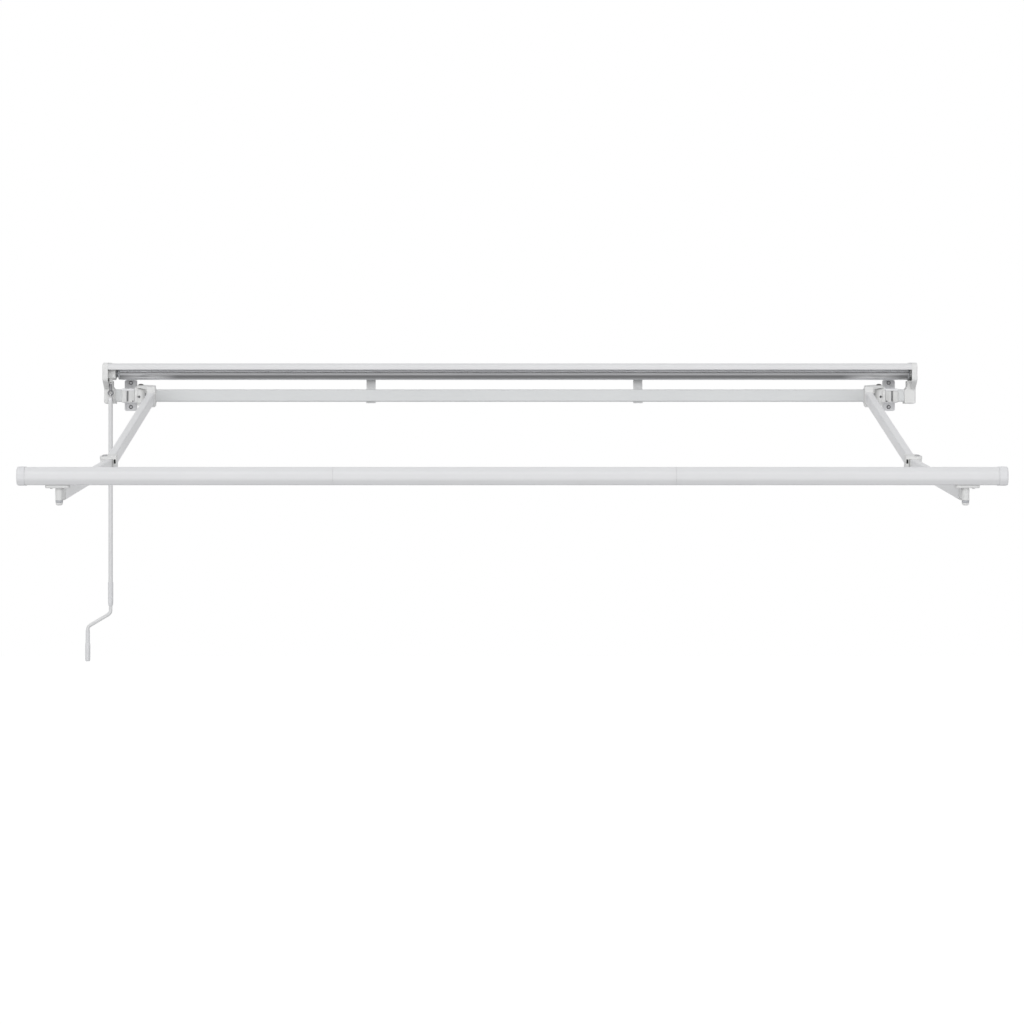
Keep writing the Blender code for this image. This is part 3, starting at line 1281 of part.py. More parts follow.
def front_bar(wrist_axis, finishes):
    """Three lengths of one profile with joiners inside, end caps and the two wrist brackets."""
    turned_back = axis_empty("front_bar_axis", (0, 0, 0), wrist_axis, (-PITCH, 0, 0))
    to_centre = (ARM_PIN_X, FRONT_Y - WRIST_Y, FRONT_Z - WRIST_Z)
    centre = axis_empty("front_bar_centre", to_centre, turned_back)
    outside, inside = front_section()
    half = FRONT_LENGTH / 2
    left_end, right_end = -half + CAP_LENGTHS[0] + GAP, half - CAP_LENGTHS[1] - GAP
    stops = [left_end, *FRONT_SEAMS, right_end]
    for word, start, end in zip(("left", "middle", "right"), stops, stops[1:]):
        first = start + (SEAM / 2 if start in FRONT_SEAMS else 0)
        last = end - (SEAM / 2 if end in FRONT_SEAMS else 0)
        add(f"front_bar_{word}", slab(outside, first, last, "X", [inside]), finishes["front"], centre)
    plug = fillet([(y, z, JOINER_CORNER) for y, z in spigot_corners()])
    hole = offset(spigot_corners(), JOINER_WALL)
    for word, seam in zip(("left", "right"), FRONT_SEAMS):
        joiner = slab(plug, seam - JOINER_LENGTH / 2, seam + JOINER_LENGTH / 2, "X", [hole])
        add(f"front_bar_joiner_{word}", joiner, finishes["steel"], centre)
    half_y, half_z = FRONT_DEPTH / 2, FRONT_HEIGHT / 2
    plain = [(-half_y, half_z * 0.40, 0.020), (-half_y * 0.62, half_z, 0.008), (half_y, half_z, 0.004)]
    plain += [(half_y, -half_z, 0.004), (-half_y * 0.68, -half_z, 0.007), (-half_y, -half_z * 0.42, 0.018)]
    cap_outline = offset(counterclockwise(fillet(plain, 3)), -CAP_PROUD)
    for (side, word), length in zip(SIDES, CAP_LENGTHS):
        outer = side * half
        inner = side * (half - length)
        shell = slab(cap_outline, inner, outer, "X", start_edge=0.001, end_edge=CAP_EDGE, steps=2)
        tongue = slab(spigot_corners(), inner + side * 0.004, inner - side * CAP_SPIGOT, "X")
        add(f"front_bar_cap_{word}", join(shell, tongue), finishes["plastic"], centre)
    for side, word in SIDES:
        wrist_bracket(side, word, centre, finishes)


def wrist_bracket(side, word, centre, finishes):
    """A plate under the front bar with a collar and a pin square to the forearm, and the pin's nut."""
    x = side * WRIST_PLATE_X
    pin_place = Vector((side * ARM_PIN_X, WRIST_Y - FRONT_Y, WRIST_Z - FRONT_Z))
    top = -FRONT_HEIGHT / 2 - GAP
    low = top - WRIST_PLATE_THICKNESS
    front, rear = pin_place.y - WRIST_PLATE_FRONT, pin_place.y + WRIST_PLATE_BACK
    half = WRIST_PLATE_WIDTH / 2
    corners = [(x - half, front), (x + half, front), (x + half, rear), (x - half, rear)]
    plate = slab(fillet([(a, b, 0.005) for a, b in corners]), low, top, "Z", start_edge=0.002)
    to_pin = Matrix.Translation(pin_place) @ Matrix.Rotation(PITCH, 4, "X")
    under_eye = -WRIST_EYE_HALF - GAP
    profile = [
        (0, top - pin_place.z - 0.004),
        (WRIST_COLLAR_RADIUS, top - pin_place.z - 0.004),
        (WRIST_COLLAR_RADIUS, WRIST_EYE_HALF + GAP),
        (PIN_RADIUS, WRIST_EYE_HALF + GAP),
        (PIN_RADIUS, -WRIST_PIN_END),
        (0, -WRIST_PIN_END),
    ]
    mesh = join(plate, moved(turned(profile, COARSE, "Z"), to_pin))
    add(f"wrist_bracket_{word}", mesh, finishes["casting"], centre)
    inner = (PIN_RADIUS + GAP) / math.cos(math.pi / COARSE)
    profile = [
        (inner, under_eye),
        (NUT_NECK_RADIUS, under_eye),
        (NUT_NECK_RADIUS, -NUT_NECK_END),
        (NUT_RADIUS, -NUT_NECK_END),
        (NUT_RADIUS, -NUT_END + 0.003),
        (NUT_RADIUS - 0.003, -NUT_END),
        (0, -NUT_END),
        (0, -WRIST_PIN_END - GAP),
        (inner, -WRIST_PIN_END - GAP),
    ]
    nut = moved(turned(profile, COARSE, "Z", closed=True), to_pin)
    add(f"wrist_nut_{word}", nut, finishes["casting"], centre)


def main():
    clear_scene()
    white = (0.80, 0.80, 0.81)
    finishes = {
        "bar": material("painted_bar", (0.66, 0.66, 0.67), 0.45, 0.0),
        "bracket": material("painted_bracket", (0.52, 0.52, 0.53), 0.5, 0.0),
        "casting": material("painted_casting", (0.76, 0.76, 0.76), 0.5, 0.0),
        "sheet": material("painted_sheet", white, 0.4, 0.0),
        "arm": material("painted_tube", white, 0.4, 0.0),
        "front": material("painted_front", white, 0.38, 0.0),
        "roller": material("bare_roller", (0.42, 0.43, 0.45), 0.35, 0.9),
        "plug": material("plug_nylon", (0.62, 0.63, 0.64), 0.5, 0.0),
        "plastic": material("white_plastic", (0.72, 0.72, 0.73), 0.45, 0.0),
        "crank": material("painted_crank", (0.70, 0.70, 0.71), 0.4, 0.0),
        "steel": material("zinc_steel", (0.50, 0.50, 0.50), 0.4, 0.9),
        "fastener": material("fastener_steel", (0.45, 0.45, 0.46), 0.4, 0.8),
    }
    torsion_bar(finishes)
    for side, word in SIDES:
        heights = wall_bracket(side, word, finishes)
        for place, z in zip(("upper", "lower"), heights):
            wall_bolt(f"wall_bolt_{place}_{word}", side * BRACKET_X, z, finishes)
        bar_keeper(side, word, finishes)
        end_plate(side, word, finishes)
    hood(finishes)
    for x, (_, word) in zip(SUPPORT_X, SIDES):
        hood_support(x, word, finishes)
    roller(finishes)
    gear_housing(finishes)
    crank(worm_eye(finishes), finishes)
    wrists = {word: arm(side, word, finishes) for side, word in SIDES}
    front_bar(wrists["left"], finishes)


main()
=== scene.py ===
"""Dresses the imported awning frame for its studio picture: camera, light, materials and small fittings."""

import json
import math

import bmesh
import bpy
from mathutils import Matrix, Vector


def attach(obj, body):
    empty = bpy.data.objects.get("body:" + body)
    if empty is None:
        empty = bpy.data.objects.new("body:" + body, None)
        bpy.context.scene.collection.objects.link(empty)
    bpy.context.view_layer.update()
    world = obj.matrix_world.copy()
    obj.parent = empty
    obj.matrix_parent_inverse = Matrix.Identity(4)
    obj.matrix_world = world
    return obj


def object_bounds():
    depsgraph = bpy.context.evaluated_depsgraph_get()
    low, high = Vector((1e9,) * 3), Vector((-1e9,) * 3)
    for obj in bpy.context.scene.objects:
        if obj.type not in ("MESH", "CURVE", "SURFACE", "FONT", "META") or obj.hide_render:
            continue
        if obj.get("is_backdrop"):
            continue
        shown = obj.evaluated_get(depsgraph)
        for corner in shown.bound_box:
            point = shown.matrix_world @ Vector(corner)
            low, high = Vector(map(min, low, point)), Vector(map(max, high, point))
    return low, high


# The picture: 1024 pixels square, taken level from well in front of the awning
IMAGE = 1024
FOCAL_PIXELS = 3309.0
PRINCIPAL_X = 499.3
CAMERA_PLACE = (-0.039, -12.33, -0.431)
CAMERA_REACH = 200.0
SENSOR = 36.0

# The studio: each lamp has its direction from the awning and its strength
WORLD_TINT = (0.97, 0.98, 1.0)
WORLD_LIGHT = 0.56
LAMPS = (
    ("key", (-0.35, -1.0, 0.40), 1.0),
    ("fill", (0.50, -1.0, 0.05), 0.6),
)
LAMP_SPREAD = 0.9
LAMP_DISTANCE = 6
FLOOR_DROP = 1.30
FLOOR_HALF = 30.0
FLOOR_LIT = (0.70, 0.70, 0.70)
FLOOR_SEEN = (0.34, 0.34, 0.34)
FLOOR_GLOW = (0.76, 0.76, 0.76)
BLACK = (0.0, 0.0, 0.0)
WHITE = (1.0, 1.0, 1.0)

# Places on the awning that the fittings sit on, in metres, as in the solids
PITCH = math.radians(9.45)
PIN_X = 1.352
SHOULDER = (-0.200, -0.003)
ELBOW = (-1.31621, -0.27394)
WRIST = (-2.460, -0.37917)
SHOULDER_HALF = 0.0375
ELBOW_HALF = 0.030
PIN_HEAD_HEIGHT = 0.003
BARREL_RADIUS = 0.0145
BRACKET_X = 1.411
BOLT_HEIGHTS = (0.050, -0.040)
BOLT_SEAT_Y = -0.003
KEEPER_FRONT_Y = -0.0968
ARM_BRACKET_TOP = 0.0273
ARM_BRACKET_REAR_Y = -0.036
ROLLER = (-0.085, 0.084)
ROLLER_RADIUS = 0.0265
ROLLER_ENDS = (-1.4410, 1.4710)
GEAR_BOX_FRONT_Y = -0.1315
GEAR_NECK_FRONT_Y = -0.1248
FRONT = (-2.469, -0.32397)
FRONT_HALF = 1.475
WRIST_PLATE_X = 1.356
WRIST_PLATE_LOW = -0.35997
SUPPORT_X = (-0.515, 0.475)
SUPPORT_FOOT = (-0.062, -0.0270)
PLATE_OUTER_X = 1.500
SIDES = ((-1, "left"), (1, "right"))

# The points round a screw's head, and each head's radius and height
HEAD_POINTS = 24
KEEPER_SCREW = (0.0026, 0.0012)
PITCH_SCREW = (0.0050, 0.0074)
CLAMP_SCREW = (0.0032, 0.0012)
END_PLATE_SCREW = (0.0038, 0.0012)
SUPPORT_SCREW = (0.0032, 0.0006)
GEAR_BOX_SCREW = (0.0022, 0.0008)
GEAR_NECK_SCREW = (0.0020, 0.0006)
PIN_SOCKET = (0.0070, 0.0010)
LOCK_SHADE_SCREW = (0.0044, 0.0006)
WRIST_BOLT = (0.0040, 0.0024)
CAP_SCREW = (0.0034, 0.0014)
RIVET = (0.0026, 0.0008)

# How far a head's skirt sits in what carries it: flat seats, the gear's neck and the round barrel
SUNK = 0.0004
NECK_SUNK = 0.0008
BARREL_SUNK = 0.0012

# The points round a ring, and each ring's hole radius, outer radius and thickness
RING_POINTS = 32
# A dark washer in each bolt's counterbore, painted shade for the counterbore's shadow
BOLT_SHADE_WASHER = (0.0054, 0.0077, 0.0016)
PIN_CLIP = (0.0061, 0.0094, 0.0010)
WRIST_BUSH = (0.0087, 0.0112, 0.0068)

# Where the fittings sit on those places
KEEPER_LOW = -0.0215
KEEPER_SCREW_X = 1.3935
# A dark pin beside the keeper, painted shade for the gap between keeper and plate
KEEPER_SHADE_PIN_X = 1.41275
KEEPER_SHADE_PIN_LENGTH = 0.0385
KEEPER_SHADE_PIN_RADIUS = 0.0019
KEEPER_SHADE_PIN_POINTS = 16
PITCH_SCREW_X = 1.3556
PITCH_SCREW_Y = -0.0970
CLAMP_SCREW_X = 1.3445
CLAMP_SCREW_HEIGHTS = (0.0222, -0.0222)
END_PLATE_SCREW_SHIFT = 0.018
SUPPORT_SCREW_SHIFT = 0.009
GEAR_BOX_SCREWS = (("low", -1.4615, 0.0685), ("high", -1.4775, 0.0925))
GEAR_NECK_SCREW_X = -1.4713
GEAR_NECK_SCREW_Z = 0.0463
PIN_CLIP_GAP = 0.0002
LOCK_SHADE_SCREW_OUT = 0.0058
LOCK_SHADE_SCREW_DROP = 0.0040
WRIST_BUSH_TOP = 0.0165
WRIST_BOLT_SHIFT = 0.0195
WRIST_BOLT_BACK = 0.0065
CAP_SCREW_BACK = 0.010
CAP_SCREW_HEIGHTS = (0.014, -0.014)
RIVET_INSET = 0.018
RIVET_COUNT = 3
FIRST_RIVET = 135

# A black rubber buffer whose black is painted shade for the elbow fork's deep pocket: its stem and head,
# each as inward, forward and upward spans from the elbow pin
SHADE_BUFFER_BLOCKS = (
    ((0.0310, 0.0365), (-0.0012, 0.0098), (0.0056, 0.0178)),
    ((0.0290, 0.0376), (0.0101, 0.0112), (0.0060, 0.0198)),
)
SHADE_BUFFER_EDGE = 0.0005
BLOCK_FACES = ((0, 1, 3, 2), (4, 6, 7, 5), (0, 4, 5, 1), (2, 3, 7, 6), (0, 2, 6, 4), (1, 5, 7, 3))

# Painted reflections and shade on the bare roller, as lengthwise bands from its underside up: share of its
# height, brightness that starts there
ROLLER_REFLECTION_BANDS = (
    (0.0, 0.95),
    (0.10, 0.45),
    (0.15, 0.145),
    (0.20, 0.16),
    (0.25, 0.18),
    (0.34, 0.41),
    (0.44, 0.40),
    (0.455, 0.13),
    (0.52, 0.13),
    (0.545, 0.90),
)
# The same bands over the arm brackets, brighter there as a painted reflection of the brackets below the tube
BRACKET_REFLECTION_BANDS = (
    (0.0, 1.0),
    (0.10, 0.95),
    (0.17, 0.38),
    (0.24, 0.54),
    (0.31, 0.69),
    (0.38, 0.55),
    (0.44, 0.46),
    (0.455, 0.14),
    (0.52, 0.14),
    (0.545, 0.97),
)
# Where the painted reflection of the arm brackets lies: its middle, full within the core, gone beyond the
# reach
BRACKET_REFLECTION_X = 1.337
BRACKET_REFLECTION_CORE = 0.0165
BRACKET_REFLECTION_REACH = 0.110
ZINC_TINT = (1.0, 1.005, 1.02)
ZINC_BLOOM = (0.93, 0.93, 0.94)

# Directions: the awning's own, and forward and upward in the arms' plane, which slopes down to the front
OUT_FRONT, TO_WALL, DOWN, UP = (0, -1, 0), (0, 1, 0), (0, 0, -1), (0, 0, 1)
FORWARD = Vector((0, -math.cos(PITCH), -math.sin(PITCH)))
UPWARD = Vector((0, -math.sin(PITCH), math.cos(PITCH)))

# Edges of the fittings that are sharper than this stay sharp
SHARP = math.radians(40)

# Nodes whose finish differs from that of their slot
OWN_FINISH = {
    # The wall plates take a lighter copy of the bracket coat: painted light against the shade under the
    # roller
    "wall_bracket_left": "plate_coat_painted_light",
    "wall_bracket_right": "plate_coat_painted_light",
    "worm_eye": "eye_steel_and_painted_shade",
    "crank_hook": "hook_steel",
    # The shoulder pins are dark: painted shade at the shoulder's top
    "shoulder_pin_left": "pin_steel_painted_shade",
    "shoulder_pin_right": "pin_steel_painted_shade",
    "front_bar_cap_left": "cap_plastic",
    "front_bar_cap_right": "cap_plastic",
}


def shader_material(name, colour, roughness, metallic=0.0):
    """A material of one plain colour, which its patterns then vary, with its place in metres."""
    made = bpy.data.materials.new(name)
    made.use_nodes = True
    tree = made.node_tree
    shader = tree.nodes["Principled BSDF"]
    shader.inputs["Base Color"].default_value = (*colour, 1.0)
    shader.inputs["Roughness"].default_value = roughness
    shader.inputs["Metallic"].default_value = metallic
    place = tree.nodes.new("ShaderNodeTexCoord").outputs["Object"]
    return made, tree, shader, place


def noise(tree, place, scale, detail, stretch=None):
    """A noise whose scale is in features per metre, stretched along the axes when asked."""
    if stretch:
        mapping = tree.nodes.new("ShaderNodeMapping")
        mapping.inputs["Scale"].default_value = stretch
        tree.links.new(place, mapping.inputs["Vector"])
        place = mapping.outputs["Vector"]
    made = tree.nodes.new("ShaderNodeTexNoise")
    made.inputs["Scale"].default_value = scale
    made.inputs["Detail"].default_value = detail
    tree.links.new(place, made.inputs["Vector"])
    return made.outputs["Fac"]


def remap(tree, value, low, high, start=0.3, end=0.7):
    """The value's range from start to end, for a noise its middle, spread over low to high."""
    node = tree.nodes.new("ShaderNodeMapRange")
    node.inputs["From Min"].default_value = start
    node.inputs["From Max"].default_value = end
    node.inputs["To Min"].default_value = low
    node.inputs["To Max"].default_value = high
    tree.links.new(value, node.inputs["Value"])
    return node.outputs["Result"]


def mix(tree, factor, first, second, blend="MIX"):
    """From the first to the second by the factor, each a colour or what another node gives."""
    node = tree.nodes.new("ShaderNodeMix")
    node.data_type = "RGBA"
    node.blend_type = blend
    for socket, value in (("A", first), ("B", second)):
        if isinstance(value, tuple):
            node.inputs[socket].default_value = (*value, 1.0)
        else:
            tree.links.new(value, node.inputs[socket])
    tree.links.new(factor, node.inputs["Factor"])
    return node.outputs["Result"]


def math_node(tree, operation, value, other=None):
    """The operation on the value and, when given, a number or what another node gives."""
    node = tree.nodes.new("ShaderNodeMath")
    node.operation = operation
    tree.links.new(value, node.inputs[0])
    if isinstance(other, float):
        node.inputs[1].default_value = other
    elif other is not None:
        tree.links.new(other, node.inputs[1])
    return node.outputs["Value"]


def bump(tree, shader, height, distance, strength):
    """Relief by the height pattern, which stands for as many metres as the distance says."""
    node = tree.nodes.new("ShaderNodeBump")
    node.inputs["Distance"].default_value = distance
    node.inputs["Strength"].default_value = strength
    tree.links.new(height, node.inputs["Height"])
    tree.links.new(node.outputs["Normal"], shader.inputs["Normal"])


def shaded(colour, share):
    """The colour with every channel at a share of its brightness."""
    return tuple(channel * share for channel in colour)


def vary(tree, shader, tone, colours, gloss, roughness):
    """Colour between two by the tone pattern, and roughness between two by the gloss pattern."""
    tree.links.new(mix(tree, remap(tree, tone, 0.0, 1.0), *colours), shader.inputs["Base Color"])
    tree.links.new(remap(tree, gloss, *roughness), shader.inputs["Roughness"])


def powder_coat(name, colour, roughness=0.42):
    """White powder coat: fine orange peel, slow changes of gloss and a trace of dust."""
    made, tree, shader, place = shader_material(name, colour, roughness)
    slow = noise(tree, place, scale=4.0, detail=4.0)
    colours = (shaded(colour, 0.975), colour)
    vary(tree, shader, slow, colours, slow, (roughness + 0.05, roughness - 0.04))
    bump(tree, shader, noise(tree, place, scale=900.0, detail=2.0), distance=0.0001, strength=0.12)
    return made


def cast_coat(name, colour, roughness=0.5):
    """Powder coat over a die casting: a coarser skin with faint flow marks."""
    made, tree, shader, place = shader_material(name, colour, roughness)
    slow = noise(tree, place, scale=14.0, detail=5.0)
    colours = (shaded(colour, 0.95), colour)
    vary(tree, shader, slow, colours, slow, (roughness + 0.08, roughness - 0.05))
    bump(tree, shader, noise(tree, place, scale=420.0, detail=4.0), distance=0.0003, strength=0.25)
    return made


def reflection_bands(tree, height, bands):
    """Painted reflections and shade as zinc greys by height, each band given as its share of the height and
    its brightness there.
    """
    ramp = tree.nodes.new("ShaderNodeValToRGB")
    tree.links.new(height, ramp.inputs["Fac"])
    stops = ramp.color_ramp.elements
    while len(stops) < len(bands):
        stops.new(0.5)
    for stop, (share, bright) in zip(stops, bands):
        stop.position = share
        stop.color = (*shaded(ZINC_TINT, bright), 1.0)
    return ramp.outputs["Color"]


def galvanised_with_painted_reflections(name, roughness=0.38):
    """Bare roll-formed steel: bands of painted reflection and shade along the tube, a brighter painted
    reflection over the arm brackets, zinc bloom and fine lines.
    """
    made, tree, shader, place = shader_material(name, (0.4, 0.4, 0.4), roughness, metallic=0.8)
    bloom = noise(tree, place, scale=60.0, detail=5.0, stretch=(0.10, 1.0, 1.0))
    lines = noise(tree, place, scale=420.0, detail=2.0, stretch=(0.002, 1.0, 1.0))
    split = tree.nodes.new("ShaderNodeSeparateXYZ")
    tree.links.new(place, split.inputs["Vector"])
    low, high = ROLLER[1] - ROLLER_RADIUS, ROLLER[1] + ROLLER_RADIUS
    height = remap(tree, split.outputs["Z"], 0.0, 1.0, low, high)
    # The painted reflection of the arm brackets: the bands turn brighter near them
    from_middle = math_node(tree, "ABSOLUTE", split.outputs["X"])
    from_reflection = math_node(tree, "ABSOLUTE", math_node(tree, "SUBTRACT", from_middle, BRACKET_REFLECTION_X))
    near = remap(tree, from_reflection, 1.0, 0.0, BRACKET_REFLECTION_CORE, BRACKET_REFLECTION_REACH)
    greys = mix(tree, near, reflection_bands(tree, height, ROLLER_REFLECTION_BANDS), reflection_bands(tree, height, BRACKET_REFLECTION_BANDS))
    dulled = mix(tree, remap(tree, bloom, 0.0, 1.0), greys, ZINC_BLOOM, "MULTIPLY")
    tree.links.new(dulled, shader.inputs["Base Color"])
    tree.links.new(remap(tree, lines, roughness - 0.05, roughness + 0.08), shader.inputs["Roughness"])
    bump(tree, shader, lines, distance=0.00005, strength=0.2)
    return made


def zinc(name, colour, roughness=0.35):
    """Zinc-plated steel: a soft sheen with small bright and dull patches."""
    made, tree, shader, place = shader_material(name, colour, roughness, metallic=0.9)
    patches = noise(tree, place, scale=180.0, detail=4.0)
    colours = (shaded(colour, 0.8), colour)
    vary(tree, shader, patches, colours, patches, (roughness - 0.06, roughness + 0.12))
    bump(tree, shader, noise(tree, place, scale=1500.0, detail=2.0), distance=0.00005, strength=0.3)
    return made


def moulded(name, colour, roughness=0.45):
    """Moulded plastic: a fine spark-eroded grain."""
    made, tree, shader, place = shader_material(name, colour, roughness)
    grain = noise(tree, place, scale=1400.0, detail=3.0)
    slow = noise(tree, place, scale=8.0, detail=3.0)
    colours = (shaded(colour, 0.96), colour)
    vary(tree, shader, slow, colours, grain, (roughness - 0.05, roughness + 0.08))
    bump(tree, shader, grain, distance=0.0001, strength=0.5)
    return made


def finishes():
    """The finish of each material slot of the record, and those of single nodes and fittings."""
    return {
        "painted_bar": powder_coat("bar_coat", (0.71, 0.72, 0.72)),
        "painted_bracket": powder_coat("bracket_coat", (0.75, 0.75, 0.75), 0.5),
        # A lighter copy of the bracket coat, painted light for the wall plates in the roller's shade
        "plate_coat_painted_light": powder_coat("plate_coat_painted_light", (0.88, 0.88, 0.89), 0.5),
        "painted_casting": cast_coat("casting_coat", (0.80, 0.80, 0.79)),
        "painted_sheet": powder_coat("sheet_coat", (0.765, 0.765, 0.77), 0.48),
        "painted_tube": powder_coat("tube_coat", (0.82, 0.82, 0.825), 0.4),
        "painted_front": powder_coat("front_coat", (0.775, 0.775, 0.78), 0.38),
        # The roller's finish carries painted reflections and shade in its colour
        "bare_roller": galvanised_with_painted_reflections("roller_zinc_painted_reflections"),
        "plug_nylon": moulded("plug_grain", (0.50, 0.51, 0.53)),
        "white_plastic": moulded("plastic_grain", (0.74, 0.74, 0.75)),
        "cap_plastic": moulded("cap_grain", (0.79, 0.79, 0.80)),
        "painted_crank": powder_coat("crank_coat", (0.74, 0.74, 0.74), 0.4),
        "zinc_steel": zinc("zinc_sheen", (0.50, 0.50, 0.51)),
        "fastener_steel": zinc("fastener_sheen", (0.42, 0.42, 0.43)),
        # Dark steel for small screws; on the bolt washers, the shoulder pin sockets and the lock screws its
        # dark is painted shade
        "dark_steel_and_painted_shade": zinc("dark_steel_and_painted_shade_sheen", (0.10, 0.10, 0.105), 0.45),
        # Darker steel for the crank's eye and the pitch screws; on the pin beside the keeper its dark is
        # painted shade
        "eye_steel_and_painted_shade": zinc("eye_sheen_and_painted_shade", (0.24, 0.24, 0.25), 0.4),
        "hook_steel": zinc("hook_sheen", (0.66, 0.66, 0.67), 0.4),
        # Dark steel of the shoulder pins, painted shade
        "pin_steel_painted_shade": zinc("pin_sheen_painted_shade", (0.17, 0.17, 0.16), 0.45),
        # Black rubber, its black painted shade in the elbow fork's pocket
        "black_rubber_painted_shade": moulded("rubber_grain_painted_shade", (0.018, 0.018, 0.018), 0.75),
    }


def dress(frame, finish):
    """Gives every CAD node its own finish, or else that of its slot."""
    for part in frame["record"]["subparts"]:
        mesh = frame["nodes"][part["node"]].data
        mesh.materials.clear()
        mesh.materials.append(finish[OWN_FINISH.get(part["node"], part["material_slot"])])


def to_mesh(bm, name, finish):
    """The bmesh as a mesh with its finish, its faces turned outward."""
    bmesh.ops.recalc_face_normals(bm, faces=bm.faces)
    mesh = bpy.data.meshes.new(name)
    bm.to_mesh(mesh)
    bm.free()
    mesh.materials.append(finish)
    return mesh


def add_fitting(mesh, body):
    """The mesh as a piece that rides on a body."""
    piece = bpy.data.objects.new(mesh.name, mesh)
    bpy.context.scene.collection.objects.link(piece)
    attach(piece, body)


def stand_on(mesh, place, normal):
    """Moves a mesh made upright at the origin to its place, along the normal, and smooths it."""
    turn = Vector(UP).rotation_difference(Vector(normal)).to_matrix().to_4x4()
    mesh.transform(Matrix.Translation(place) @ turn)
    mesh.shade_smooth()
    mesh.set_sharp_from_angle(angle=SHARP)


def join_loops(bm, loops):
    """Faces between each loop and the next."""
    for first, second in zip(loops, loops[1:]):
        count = len(first)
        for k in range(count):
            bm.faces.new((first[k], first[(k + 1) % count], second[(k + 1) % count], second[k]))


def turned_piece(name, rings, place, normal, body, finish):
    """A small turned piece from rings of equally many points, each ring given as (points, height)."""
    bm = bmesh.new()
    loops = [[bm.verts.new((x, y, height)) for x, y in points] for points, height in rings]
    join_loops(bm, loops)
    bm.faces.new(loops[0][::-1])
    bm.faces.new(loops[-1])
    mesh = to_mesh(bm, name, finish)
    stand_on(mesh, place, normal)
    add_fitting(mesh, body)


def round_ring(radius, count=HEAD_POINTS):
    turns = [2 * math.pi * k / count for k in range(count)]
    return [(radius * math.cos(t), radius * math.sin(t)) for t in turns]


def hex_ring(radius, count=HEAD_POINTS):
    """A hexagon's outline with as many points as a round ring; radius is that of its flats."""
    points = []
    for k in range(count):
        turn = 2 * math.pi * k / count
        from_flat = (turn % (math.pi / 3)) - math.pi / 6
        reach = radius / math.cos(from_flat)
        points.append((reach * math.cos(turn), reach * math.sin(turn)))
    return points


def screw(name, place, normal, body, finish, size, sunk=SUNK):
    """A domed screw head with a hexagon socket."""
    radius, height = size
    socket = radius * 0.5
    rings = [
        (round_ring(radius), -sunk),
        (round_ring(radius), height * 0.35),
        (round_ring(radius * 0.93), height * 0.75),
        (round_ring(radius * 0.78), height),
        (hex_ring(socket), height),
        (hex_ring(socket * 0.94), height * 0.25),
        (hex_ring(socket * 0.4), height * 0.15),
    ]
    turned_piece(name, rings, place, normal, body, finish)


def washer(name, place, normal, body, finish, size):
    """A flat ring with a slightly broken outer edge."""
    inner, outer, thickness = size
    edge = thickness * 0.2
    profile = (
        (inner, 0),
        (outer, 0),
        (outer, thickness - edge),
        (outer - edge, thickness),
        (inner, thickness),
    )
    bm = bmesh.new()
    loops = [[bm.verts.new((x, y, z)) for x, y in round_ring(radius, RING_POINTS)] for radius, z in profile]
    join_loops(bm, loops + loops[:1])
    mesh = to_mesh(bm, name, finish)
    stand_on(mesh, place, normal)
    add_fitting(mesh, body)


def bracket_fittings(side, word, finish):
    """Dark washers in the wall bolts' counterbores, painted as the counterbores' shade, the keeper's screw,
    and a dark pin painted as the shade of the gap beside the keeper.
    """
    dark = finish["dark_steel_and_painted_shade"]
    for place, z in zip(("upper", "lower"), BOLT_HEIGHTS):
        at = (side * BRACKET_X, BOLT_SEAT_Y, z)
        washer(f"bolt_shade_washer_{place}_{word}", at, OUT_FRONT, "wall_frame", dark, BOLT_SHADE_WASHER)
    at = (side * KEEPER_SCREW_X, KEEPER_FRONT_Y, KEEPER_LOW)
    screw(f"keeper_screw_{word}", at, OUT_FRONT, "wall_frame", dark, KEEPER_SCREW)
    # The dark pin paints the shade of the gap beside the keeper
    ring = round_ring(KEEPER_SHADE_PIN_RADIUS, KEEPER_SHADE_PIN_POINTS)
    at = (side * KEEPER_SHADE_PIN_X, KEEPER_FRONT_Y, KEEPER_LOW)
    rings = [(ring, 0.0), (ring, KEEPER_SHADE_PIN_LENGTH)]
    turned_piece(f"keeper_shade_pin_{word}", rings, at, UP, "wall_frame", finish["eye_steel_and_painted_shade"])


